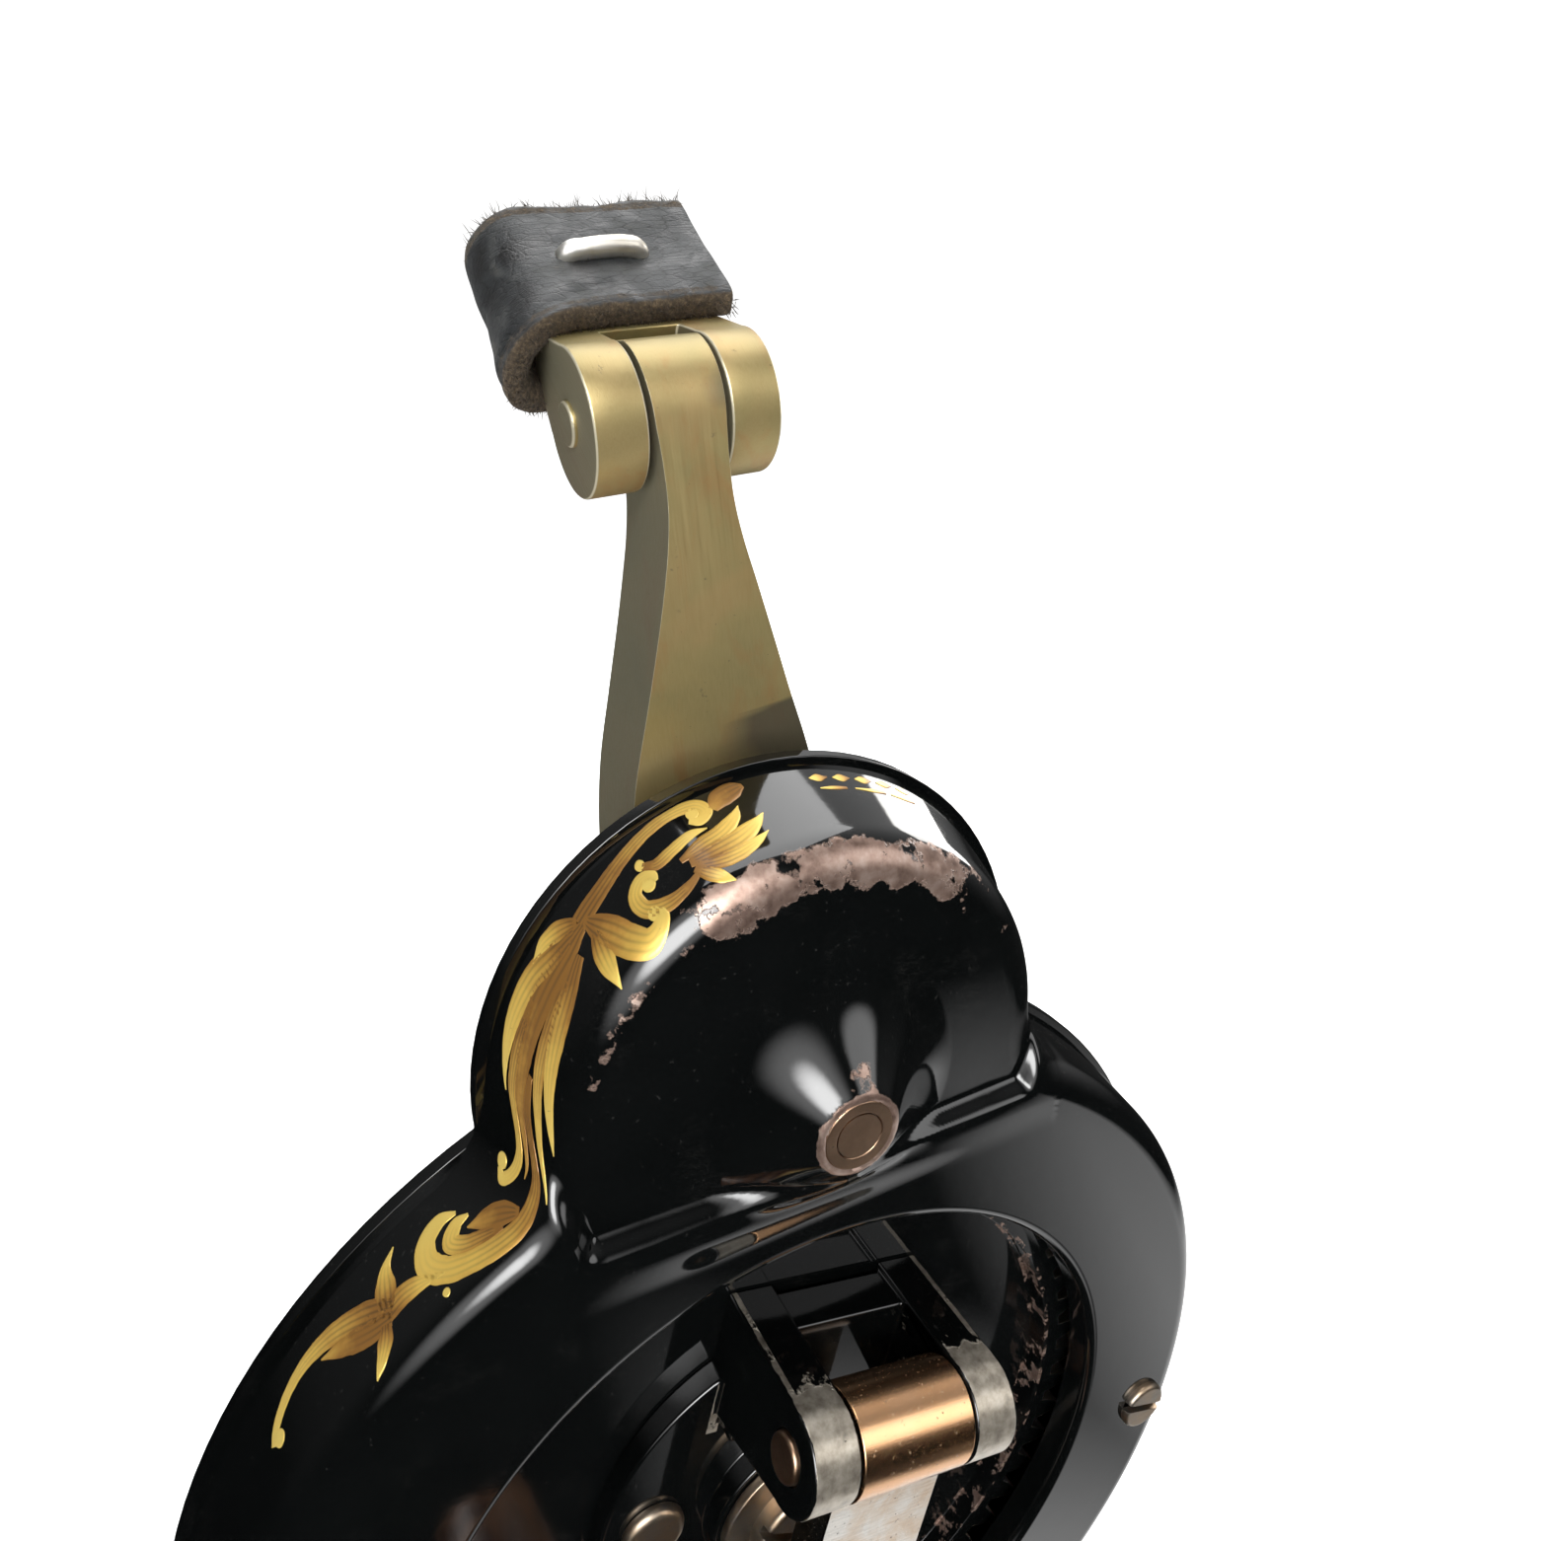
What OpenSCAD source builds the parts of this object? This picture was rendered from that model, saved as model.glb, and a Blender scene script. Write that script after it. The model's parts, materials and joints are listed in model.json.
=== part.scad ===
// Hand-crank drive unit of an antique sewing machine.
// Built around the crank axis: X right, Y from the front ring towards the machine, Z up.
// place() then moves everything so that the origin is the centre of the mounting face.

/* [Gears] */
// Diametral pitch module of both gears
gear_module = 1.27; // [1.2:0.01:1.3]
// Number of teeth on the crank gear
gear_teeth = 57; // [57:1:57]
// Number of teeth on the pinion
pinion_teeth = 19; // [19:1:19]
// Face width of both gears
gear_face_w = 5; // [4:0.25:5]
// Backlash measured on the pitch circle
backlash = 0.2; // [0.15:0.05:0.3]

/* [Housing] */
// Radius of the disc at the front ring
disc_r = 50; // [49:0.5:51]
// Radius of the disc at the open back
disc_back_r = 51.5; // [51:0.5:52]
// Radius of the round opening in front of the crank gear
opening_r = 34.7; // [34:0.1:35]
// Radius of the dome at its face
dome_r = 20.6; // [20:0.1:21]
// Radius of the dome at the open back
dome_back_r = 24.5; // [24:0.1:25]
// How far the dome face lies behind the front ring
dome_set_back = 1.5; // [1:0.1:1.5]
// Depth of the shell from the front ring to the back plate
shell_depth = 11; // [11:0.1:11.2]
// Wall thickness of the shell
shell_wall = 2.8; // [2.5:0.1:2.8]
// Thickness of the back plate
plate_t = 1.5; // [1.5:0.1:1.8]
// Radius of the screws' heads on the front ring
ring_screw_head_r = 2.9; // [2.6:0.1:2.9]

/* [Crank] */
// Distance from the crank axis to the handle's axis
crank_radius = 94; // [93:1:100]
// Angle at which the folded-out crank rests, from straight down towards the left
crank_rest_angle = 12; // [10:1:14]
// Distance of the folding pin from the crank axis
fold_pin_radius = 18.8; // [18.5:0.1:19]
// How far the folding pin stands in front of the ring
fold_pin_forward = 5.8; // [5.8:0.1:6]
// Radius of the folding pin
fold_pin_r = 1.95; // [1.8:0.05:2]
// Width of the crank arm at its knuckle
arm_w = 11.4; // [11:0.1:11.6]
// Thickness of the crank arm
arm_t = 3.6; // [3.2:0.1:3.6]
// Radius of the crank arm's knuckle
knuckle_r = 4.4; // [4.2:0.1:4.5]
// Thickness of each clevis ear
ear_t = 4.5; // [4:0.1:4.8]

/* [Handle] */
// Length of the wooden handle
handle_len = 70; // [65:1:76]
// Largest radius of the wooden handle
handle_r = 12.5; // [11:0.5:12.5]
// Radius of the handle's spindle
spindle_r = 3; // [2.8:0.1:3.2]

/* [Driver] */
// Angle of the driver arm from straight up, towards the left
driver_angle = 8; // [6:1:10]
// Distance from the pinion axis to the finger's hinge pin
finger_pin_radius = 51; // [50:0.5:51]
// Thickness of the driver arm at its hub
driver_t = 8.5; // [8:0.1:8.5]
// Angle that the finger leans back from the driver arm
finger_lean = 50; // [45:1:55]
// Length of the finger from its hinge pin
finger_len = 17; // [16:0.5:17]
// Width of the finger's plate
finger_w = 13; // [12:0.5:13]
// Thickness of the finger's plate
finger_t = 3.2; // [3:0.1:3.4]
// Thickness of the leather
leather_t = 2.4; // [2:0.1:2.4]

/* [Bracket] */
// Distance from the back plate to the mounting face
bracket_reach = 41.5; // [40:0.5:45]
// Height of the crank axis above the middle of the mounting face
bracket_drop = 38.5; // [38:0.5:39]
// Distance between the two bolt holes of the mounting face
bolt_spacing = 30; // [30:1:32]
// Radius of the two bolt holes
bolt_hole_r = 3.4; // [3.2:0.1:3.5]

/* [Hidden] */
$fn = 96;
// Gaps between pieces: turning fits, fixed fits and plain clearance
run_gap = 0.05;
snug_gap = 0.02;
side_gap = 0.3;
cut = 1;
sliver = 0.01;

// Gears
gear_r = gear_module * gear_teeth / 2;
pinion_pitch_r = gear_module * pinion_teeth / 2;
centre_distance = gear_r + pinion_pitch_r;
addendum = gear_module;
dedendum = 1.25 * gear_module;
pressure_angle = 20;
gear_front_y = 4.8;
gear_back_y = gear_front_y + gear_face_w;
rim_inner_r = 32.6;
web_front_y = 7.2;
web_back_y = 9.4;

// Shell and back plate
plate_front_y = shell_depth;
plate_back_y = shell_depth + plate_t;
ring_wall = 3.2;
dome_inner_y = 4.2;
junction_z = 42;
junction_tilt = 3;
edge_r = 1.4;
plate_lip = 0.8;
fillet_r = 7;
fillet_bite = 0.4;
fillet_draft = 2.4;
ring_screw_r = 45;
ring_screw_angles = [-10, 190, 270];
ring_screw_thread_r = 1.75;
ring_screw_head_t = 1.6;
screw_slot_w = 0.9;
pillar_r = 4;

// Pinion shaft and its two bushes
boss_tip_y = -3.65;
boss_tip_r = 3.7;
boss_base_r = 8.8;
journal_r = 1.9;
shaft_r = 3;
front_bush_r = 3;
rear_bush_r = 5;
rear_bush_y = 10.2;
driver_front_y = plate_back_y + 2;
driver_back_y = driver_front_y + driver_t;

// Crank hub, its axle and its rivets
axle_r = 5;
axle_rivet_r = 4;
hub_r = 19;
hub_boss_r = 8.5;
fill_overlap = 12;
hub_front_y = 2.6;
spigot_r = 9;
spigot_back_y = 9.6;
washer_r = 8;
washer_t = 1;
washer_gap = 0.1;
stud_collar_r = 8;
axle_head_r = 5.4;
axle_head_t = 2;
axle_thread_r = 2.1;
rivet_ring_r = 14;
rivet_r = 1.8;
rivet_head_r = 3;
rivet_head_t = 1.1;
ear_gap_half = arm_w / 2 + 0.2;
ear_outer = ear_gap_half + ear_t;
ear_end_r = 4.4;
ear_root_w = 11;
bridge_low = 11;
bridge_front_y = 2.4;
bridge_inset = 0.6;

// Crank arm and handle
arm_end_r = 8.5;
arm_length = crank_radius + fold_pin_radius;
handle_washer_t = 1.2;
handle_washer_r = 7;
ferrule_len = 9;
ferrule_r = 8.4;
ferrule_wall = 0.9;
spindle_head_r = 4.6;
spindle_head_t = 2;
spindle_recess = 1;
arm_boss_t = 0.8;
arm_taper_start = 0.75 * arm_length;
arm_taper_end = arm_length - 3;
arm_taper_in = 0.6;
washer_back_y = -arm_t / 2 - arm_boss_t;
handle_back_y = washer_back_y - handle_washer_t - side_gap;
handle_front_y = handle_back_y - handle_len;
head_seat_y = handle_front_y + spindle_recess + spindle_head_t;

// Driver arm, finger and leather
hub_outer_r = 9.5;
tongue_half = 2.8;
neck_half = 2.5;
neck_r = 44.4;
finger_pin_r = 1.6;
lug_inner = tongue_half + side_gap;
lug_outer = 7;
lug_r = 5.2;
plate_start = 5.7;
hinge_y = plate_back_y + side_gap + lug_r;
taper_pin_y = (driver_front_y + driver_back_y) / 2;
leather_start = 5.6;
leather_end = 18;
leather_left = 9;
leather_right = 7.9;
staple_at = 12.3;
staple_r = 0.6;
staple_half = 3;
taper_pin_r = 1.3;
pin_proud = 0.4;
tongue_back_y = hinge_y + 3.5;
tongue_chamfer = 2.5;
// Half of the driver arm's outline, from the hub up to the tongue
driver_half = [[hub_outer_r, 0], [9.2, 12], [8.2, 22], [6.7, 27], [5.1, 32.6], [3.9, 37.5], [2.9, 41.3],
               [neck_half, neck_r], [tongue_half, finger_pin_radius],
               [tongue_half, finger_pin_radius + lug_r]];
// How far the driver arm's front comes forward and its back goes in, seen from the side, on the way up
driver_front = [[driver_front_y, 24], [driver_front_y - 0.4, 28], [driver_front_y - 1.1, 33.5],
                [driver_front_y - 1.6, 39], [hinge_y - lug_r, 43]];
driver_back = [[tongue_back_y, finger_pin_radius + tongue_chamfer], [tongue_back_y, neck_r],
               [driver_back_y - 1, 36], [driver_back_y - 0.4, 30], [driver_back_y, 24]];

// Bracket
flange_t = 5;
flange_half_w = 22;
flange_half_h = 7.5;
beam_half_w = 8.5;
pad_t = 8;
pad_half_w = 23;
pad_half_h = 12;
pad_corner_r = 5;
bracket_screw_x = 22;
bracket_screw_r = 2.4;
bracket_head_r = 4.4;
bracket_head_t = 3;
bracket_screw_depth = 4;
bracket_boss_r = 3.6;
bracket_boss_y = 7;
beam_corner_r = 3;
rib_half_t = 2;
bracket_screw_turn = 35;
housing_screw_turn = 20;
face_y = plate_back_y + bracket_reach;

// ---- Frames ----

// From the crank axis to the middle of the mounting face
module place() {
    translate([0, -face_y, bracket_drop]) children();
}

// The crank's own frame: its Z points from the crank axis to the folding pin
module crank_frame() {
    rotate([0, crank_rest_angle, 0]) children();
}

// The folding pin's frame: X along the pin, the arm hangs down along -Z
module fold_frame() {
    crank_frame() translate([0, -fold_pin_forward, fold_pin_radius]) children();
}

// The driver's frame: origin on the pinion axis, Z along the driver arm
module driver_frame() {
    translate([0, 0, centre_distance]) rotate([0, -driver_angle, 0]) children();
}

// The finger's frame: origin on its hinge pin, Z along the finger
module finger_frame() {
    driver_frame()
        translate([0, hinge_y, finger_pin_radius])
            rotate([-finger_lean, 0, 0]) children();
}

// ---- Shared shapes ----

// Cylinder along Y between two depths
module rod_y(r, y1, y2) {
    translate([0, y2, 0]) rotate([90, 0, 0]) cylinder(r = r, h = y2 - y1);
}

// Cone along Y, r1 at the front and r2 at the back
module cone_y(r1, r2, y1, y2) {
    translate([0, y2, 0]) rotate([90, 0, 0]) cylinder(r1 = r2, r2 = r1, h = y2 - y1);
}

// Cylinder along X between two places
module rod_x(r, x1, x2) {
    translate([x1, 0, 0]) rotate([0, 90, 0]) cylinder(r = r, h = x2 - x1);
}

// A flat outline in X and Z, extruded between two depths
module slab_y(y1, y2) {
    translate([0, y2, 0]) rotate([90, 0, 0]) linear_extrude(y2 - y1) children();
}

// A flat outline in Y and Z, extruded between two places on X
module slab_x(x1, x2) {
    translate([x1, 0, 0]) rotate([90, 0, 90]) linear_extrude(x2 - x1) children();
}

// A turned disc whose front edge is rounded; its axis is Y
module turned_front(r_front, r_back, y1, y2, round_r) {
    arc = [for (a = [0:15:90])
        [r_front - round_r + round_r * sin(a), -(y1 + round_r - round_r * cos(a))]];
    rotate([90, 0, 0]) rotate_extrude()
        polygon(concat([[0, -y1]], arc, [[r_back, -y2], [0, -y2]]));
}

// Disc or dome outline offset inwards by the wall, as the hollow behind the front wall
module hollow(r_front, r_back, y1, y2) {
    cone_y(r_front - shell_wall, r_back - shell_wall, y1, y2);
}

// ---- Gears ----

function involute(angle) = tan(angle) * 180 / PI - angle;
function half_tooth(teeth, r) =
    let (pitch_r = gear_module * teeth / 2,
         base_r = pitch_r * cos(pressure_angle),
         here = r > base_r ? acos(base_r / r) : 0)
    90 / teeth - backlash / 4 / pitch_r * 180 / PI + involute(pressure_angle) - involute(here);
function tooth(teeth, centre) =
    let (pitch_r = gear_module * teeth / 2,
         radii = [pitch_r - dedendum, pitch_r - 0.4 * addendum, pitch_r + 0.3 * addendum,
                  pitch_r + addendum])
    concat([for (r = radii) polar(r, centre - half_tooth(teeth, r))],
           [for (i = [3:-1:0]) polar(radii[i], centre + half_tooth(teeth, radii[i]))]);
function polar(r, angle) = [r * cos(angle), r * sin(angle)];

module gear_outline(teeth, first_angle) {
    polygon([for (i = [0:teeth - 1]) each tooth(teeth, first_angle + i * 360 / teeth)]);
}

// ---- Fixed pieces ----

// Fills the two inside corners between disc and dome
module corner_fill(y1, y2) {
    reach = disc_back_r + fillet_r - fillet_bite;
    near = dome_back_r + fillet_r - fillet_bite;
    z = (reach * reach - near * near + centre_distance * centre_distance) / 2 / centre_distance;
    x = sqrt(reach * reach - z * z);
    for (side = [-1, 1])
        difference() {
            slab_y(y1, y2)
                polygon([[0, z - fill_overlap], [side * x * disc_back_r / reach, z * disc_back_r / reach],
                         [side * x, z],
                         [side * x * dome_back_r / near,
                          centre_distance + (z - centre_distance) * dome_back_r / near],
                         [0, centre_distance]]);
            translate([side * x, 0, z]) cone_y(fillet_r + fillet_draft, fillet_r, 0, y2 + sliver);
        }
}

// The straight step between the front ring and the dome face
module dome_step() {
    slab_y(-cut, dome_set_back) intersection() {
        translate([0, centre_distance]) circle(r = dome_r);
        translate([0, junction_z]) rotate(junction_tilt) translate([-disc_r, 0])
            square([2 * disc_r, disc_r]);
    }
}

module gear_housing() {
    color("#141414") place() difference() {
        union() {
            difference() {
                union() {
                    difference() {
                        turned_front(disc_r, disc_back_r, 0, shell_depth, edge_r);
                        dome_step();
                    }
                    translate([0, 0, centre_distance])
                        turned_front(dome_r, dome_back_r, dome_set_back, shell_depth, edge_r);
                    corner_fill(dome_set_back + edge_r, shell_depth);
                }
                hollow(disc_r, disc_back_r, ring_wall, shell_depth + 0.01);
                translate([0, 0, centre_distance])
                    hollow(dome_r, dome_back_r, dome_inner_y, shell_depth + 0.01);
            }
            for (angle = ring_screw_angles)
                rotate([0, -angle, 0]) translate([ring_screw_r, 0, 0])
                    rod_y(pillar_r, ring_wall - 0.5, shell_depth - side_gap);
            translate([0, 0, centre_distance])
                cone_y(boss_tip_r, boss_base_r, boss_tip_y, dome_set_back + 0.5);
        }
        rod_y(opening_r, -cut, ring_wall + cut);
        translate([0, 0, centre_distance])
            rod_y(front_bush_r + snug_gap, boss_tip_y - cut, dome_inner_y + cut);
        for (angle = ring_screw_angles)
            rotate([0, -angle, 0]) translate([ring_screw_r, 0, 0]) {
                rod_y(ring_screw_thread_r + snug_gap, -cut, shell_depth + cut);
                rod_y(ring_screw_head_r + snug_gap, -cut, ring_screw_head_t / 2);
            }
    }
}

module back_plate() {
    color("#181818") place() difference() {
        union() {
            rod_y(disc_back_r + plate_lip, plate_front_y, plate_back_y);
            translate([0, 0, centre_distance]) rod_y(dome_back_r + plate_lip, plate_front_y, plate_back_y);
            corner_fill(plate_front_y, plate_back_y);
            for (side = [-1, 1])
                translate([side * bracket_screw_x, 0, -bracket_drop])
                    rod_y(bracket_boss_r, bracket_boss_y, plate_back_y);
        }
        rod_y(axle_rivet_r + snug_gap, plate_front_y - cut, plate_back_y + cut);
        translate([0, 0, centre_distance])
            rod_y(rear_bush_r + snug_gap, plate_front_y - cut, plate_back_y + cut);
        for (side = [-1, 1])
            translate([side * bracket_screw_x, 0, -bracket_drop])
                rod_y(bracket_screw_r + snug_gap, plate_back_y - bracket_screw_depth - side_gap,
                      plate_back_y + cut);
        for (angle = ring_screw_angles)
            rotate([0, -angle, 0]) translate([ring_screw_r, 0, 0])
                rod_y(ring_screw_thread_r + snug_gap, plate_front_y - cut, plate_back_y + cut);
    }
}

module rounded_box_outline(half_w, half_h, r) {
    square([2 * half_w, 2 * (half_h - r)], center = true);
    square([2 * (half_w - r), 2 * half_h], center = true);
    for (x = [-1, 1], z = [-1, 1]) translate([x * (half_w - r), z * (half_h - r)]) circle(r = r);
}

module mounting_bracket() {
    color("#161616") place() translate([0, 0, -bracket_drop]) difference() {
        union() {
            slab_y(plate_back_y, plate_back_y + flange_t) {
                square([2 * flange_half_w, 2 * flange_half_h], center = true);
                for (side = [-1, 1]) translate([side * flange_half_w, 0]) circle(r = flange_half_h);
            }
            slab_y(plate_back_y, face_y)
                rounded_box_outline(beam_half_w, flange_half_h, beam_corner_r);
            slab_x(-rib_half_t, rib_half_t)
                polygon([[plate_back_y + flange_t, -flange_half_h], [face_y - pad_t, -flange_half_h],
                         [face_y - pad_t, -pad_half_h]]);
            slab_y(face_y - pad_t, face_y) rounded_box_outline(pad_half_w, pad_half_h, pad_corner_r);
        }
        for (side = [-1, 1]) {
            translate([side * bracket_screw_x, 0, 0])
                rod_y(bracket_screw_r + snug_gap, plate_back_y - cut, plate_back_y + flange_t + cut);
            translate([side * bolt_spacing / 2, 0, 0])
                rod_y(bolt_hole_r, face_y - pad_t - cut, face_y + cut);
        }
    }
}

// A slotted screw along Y; its head is in front and its shank runs back
module slotted_screw(head_r, head_t, shank_r, length, dome) {
    difference() {
        union() {
            turned_front(head_r, head_r, -head_t, 0, dome);
            rod_y(shank_r, -head_t / 2, length);
        }
        translate([-head_r - cut, -head_t - cut, -screw_slot_w / 2])
            cube([2 * (head_r + cut), cut + head_t / 2, screw_slot_w]);
    }
}

module bracket_screws() {
    color("#6f6a62") place()
        for (side = [-1, 1])
            translate([side * bracket_screw_x, plate_back_y + flange_t, -bracket_drop])
                rotate([0, 0, 180]) rotate([0, bracket_screw_turn * side, 0])
                    slotted_screw(bracket_head_r, bracket_head_t, bracket_screw_r,
                                  flange_t + bracket_screw_depth, 0.8);
}

module housing_screws() {
    color("#8a857c") place()
        for (angle = ring_screw_angles)
            rotate([0, -angle, 0]) translate([ring_screw_r, ring_screw_head_t / 2, 0])
                rotate([0, housing_screw_turn + angle, 0])
                    slotted_screw(ring_screw_head_r, ring_screw_head_t, ring_screw_thread_r,
                                  plate_back_y - ring_screw_head_t / 2, 0.5);
}

module axle_stud() {
    color("#8f8b84") place() difference() {
        union() {
            rod_y(axle_r, hub_front_y - washer_gap, plate_front_y);
            rod_y(stud_collar_r, spigot_back_y + side_gap, plate_front_y);
            rod_y(axle_rivet_r, plate_front_y - cut, plate_back_y);
        }
        rod_y(axle_thread_r + snug_gap, 0, 10);
    }
}

module axle_washer() {
    color("#a29c92") place() difference() {
        rod_y(washer_r, hub_front_y - washer_gap - washer_t, hub_front_y - washer_gap);
        rod_y(axle_thread_r + snug_gap, 0, hub_front_y);
    }
}

module axle_screw() {
    color("#9a958c") place() translate([0, hub_front_y - washer_gap - washer_t, 0]) rotate([0, 30, 0])
        slotted_screw(axle_head_r, axle_head_t, axle_thread_r, 8, 0.6);
}

module front_bush() {
    color("#8d7a62") place() translate([0, 0, centre_distance]) difference() {
        rod_y(front_bush_r, boss_tip_y, dome_inner_y);
        rod_y(journal_r + run_gap, boss_tip_y - cut, dome_inner_y + cut);
    }
}

module rear_bush() {
    color("#9b8455") place() translate([0, 0, centre_distance]) difference() {
        union() {
            rod_y(rear_bush_r, plate_front_y - cut, plate_back_y);
            rod_y(rear_bush_r + 1.5, rear_bush_y, plate_front_y);
        }
        rod_y(shaft_r + run_gap, 0, plate_back_y + cut);
    }
}

// ---- Crank gear and hub ----

module at_rivets() {
    for (angle = [90, 180, 270])
        crank_frame() rotate([0, angle, 0]) translate([0, 0, rivet_ring_r]) children();
}

module crank_gear() {
    color("#77736b") place() difference() {
        slab_y(gear_front_y, gear_back_y) gear_outline(gear_teeth, 90 + 180 / gear_teeth);
        rod_y(rim_inner_r, gear_front_y - cut, web_front_y);
        rod_y(rim_inner_r, web_back_y, gear_back_y + cut);
        rod_y(spigot_r + snug_gap, 0, gear_back_y + cut);
        at_rivets() rod_y(rivet_r + snug_gap, 0, gear_back_y + cut);
    }
}

// One clevis ear: straight outer edge, round end, wider towards the hub
module ear_outline() {
    round_end = [for (a = [90:7.5:270]) [ear_end_r * cos(a) - fold_pin_forward,
                                         ear_end_r * sin(a) + fold_pin_radius]];
    outer_z = fold_pin_radius + ear_end_r;
    inner_z = outer_z - ear_root_w;
    polygon(concat(round_end, [[gear_front_y - 0.5, inner_z], [web_front_y, inner_z],
                               [web_front_y, outer_z]]));
}

module crank_hub() {
    color("#1b1b1b") place() difference() {
        union() {
            rod_y(hub_r, gear_front_y, web_front_y);
            rod_y(hub_boss_r, hub_front_y, web_front_y);
            rod_y(spigot_r, web_front_y - cut, spigot_back_y);
            crank_frame() translate([-ear_outer + bridge_inset, bridge_front_y, bridge_low])
                cube([2 * (ear_outer - bridge_inset), web_front_y - bridge_inset - bridge_front_y,
                      fold_pin_radius + ear_end_r - bridge_inset - bridge_low]);
            for (side = [-1, 1])
                crank_frame() translate([side * (ear_gap_half + ear_t / 2), 0, 0])
                    slab_x(-ear_t / 2, ear_t / 2) ear_outline();
        }
        rod_y(axle_r + run_gap, 0, spigot_back_y + cut);
        at_rivets() rod_y(rivet_r + snug_gap, 0, web_front_y + cut);
        fold_frame() rod_x(fold_pin_r + snug_gap, -ear_outer - cut, ear_outer + cut);
    }
}

module hub_rivets() {
    color("#6d675e") place() at_rivets() {
        rod_y(rivet_r, gear_front_y - rivet_head_t, web_back_y);
        turned_front(rivet_head_r, rivet_head_r, gear_front_y - rivet_head_t, gear_front_y, 0.8);
    }
}

module crank_hinge_pin() {
    color("#b0aba2") place() fold_frame()
        rod_x(fold_pin_r, -ear_outer - pin_proud, ear_outer + pin_proud);
}

// ---- Crank arm and handle ----

module arm_outline() {
    half = arm_w / 2;
    end_half = arm_end_r - arm_taper_in;
    polygon([[-half, 0], [half, 0], [half, -arm_taper_start], [end_half, -arm_taper_end],
             [-end_half, -arm_taper_end], [-half, -arm_taper_start]]);
    translate([0, -arm_length]) circle(r = arm_end_r);
}

module crank_arm() {
    color("#a9a49b") place() fold_frame() difference() {
        union() {
            slab_y(-arm_t / 2, arm_t / 2) arm_outline();
            rod_x(knuckle_r, -arm_w / 2, arm_w / 2);
            translate([0, 0, -arm_length]) rod_y(arm_end_r, washer_back_y, arm_t / 2);
        }
        rod_x(fold_pin_r + run_gap, -arm_w, arm_w);
        translate([0, 0, -arm_length]) rod_y(spindle_r + snug_gap, -arm_w, arm_w);
    }
}

// The handle's frame: origin on the spindle's axis at the arm's middle plane
module handle_frame() {
    fold_frame() translate([0, 0, -arm_length]) children();
}

module handle_spindle() {
    color("#9d988f") place() handle_frame() {
        rod_y(spindle_r, head_seat_y - side_gap, arm_t / 2);
        turned_front(spindle_head_r, spindle_head_r, head_seat_y - side_gap - spindle_head_t,
                     head_seat_y - side_gap, 0.8);
    }
}

module handle_washer() {
    color("#b3aea5") place() handle_frame() difference() {
        rod_y(handle_washer_r, washer_back_y - handle_washer_t, washer_back_y);
        rod_y(spindle_r + snug_gap, washer_back_y - handle_washer_t - cut, washer_back_y + cut);
    }
}

// Radius of the turned handle at a place from its back, 0, to its front, 1
function grip_r(t) = ferrule_r + (handle_r - ferrule_r) * pow(sin(180 * pow(t, 0.8)), 0.9) - 1.6 * t * t;

module wooden_handle() {
    steps = 24;
    side = [for (i = [0:steps]) let (t = i / steps)
        [grip_r(t), -(handle_back_y - ferrule_len) + (handle_len - ferrule_len) * t * 0.985]];
    color("#5b3520") place() handle_frame() difference() {
        rotate([90, 0, 0]) rotate_extrude()
            polygon(concat([[0, -handle_back_y], [ferrule_r - ferrule_wall - snug_gap, -handle_back_y],
                            [ferrule_r - ferrule_wall - snug_gap, -handle_back_y + ferrule_len]],
                           side, [[grip_r(1) - 1, -handle_front_y], [0, -handle_front_y]]));
        rod_y(spindle_r + run_gap, handle_front_y - cut, cut);
        rod_y(spindle_head_r + side_gap, handle_front_y - cut, head_seat_y);
    }
}

module handle_ferrule() {
    color("#b58f4e") place() handle_frame() difference() {
        rod_y(ferrule_r, handle_back_y - ferrule_len, handle_back_y);
        rod_y(ferrule_r - ferrule_wall, handle_back_y - ferrule_len - cut, handle_back_y + cut);
    }
}

// ---- Pinion and driver arm ----

module pinion() {
    color("#8b867d") place() translate([0, 0, centre_distance]) difference() {
        slab_y(gear_front_y, gear_back_y) gear_outline(pinion_teeth, -90);
        rod_y(shaft_r + snug_gap, 0, gear_back_y + cut);
    }
}

module pinion_shaft() {
    color("#968f84") place() difference() {
        translate([0, 0, centre_distance]) {
            rod_y(journal_r, boss_tip_y, gear_front_y);
            rod_y(shaft_r, dome_inner_y + side_gap, driver_back_y + pin_proud);
        }
        driver_frame() translate([0, taper_pin_y, 0])
            rod_x(taper_pin_r + snug_gap, -shaft_r - cut, shaft_r + cut);
    }
}

module driver_outline() {
    last = len(driver_half) - 1;
    polygon(concat(driver_half, [for (i = [last:-1:0]) [-driver_half[i][0], driver_half[i][1]]]));
    circle(r = hub_outer_r);
}

module driver_side() {
    polygon(concat([[driver_front_y, -hub_outer_r]], driver_front,
                   [for (a = [180:-7.5:75]) [hinge_y + lug_r * cos(a), finger_pin_radius + lug_r * sin(a)]],
                   driver_back, [[driver_back_y, -hub_outer_r]]));
}

module driver_arm() {
    color("#8c7c58") place() driver_frame() difference() {
        intersection() {
            slab_y(hinge_y - lug_r - cut, driver_back_y + cut) driver_outline();
            slab_x(-hub_outer_r, hub_outer_r) driver_side();
        }
        rod_y(shaft_r + snug_gap, 0, driver_back_y + cut);
        translate([0, hinge_y, finger_pin_radius])
            rod_x(finger_pin_r + run_gap, -lug_outer, lug_outer);
        translate([0, taper_pin_y, 0])
            rod_x(taper_pin_r + snug_gap, -hub_outer_r - cut, hub_outer_r + cut);
    }
}

module arm_taper_pin() {
    color("#a09a8f") place() driver_frame() translate([0, taper_pin_y, 0])
        rod_x(taper_pin_r, -hub_outer_r - pin_proud, hub_outer_r + pin_proud);
}

// ---- Finger ----

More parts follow.
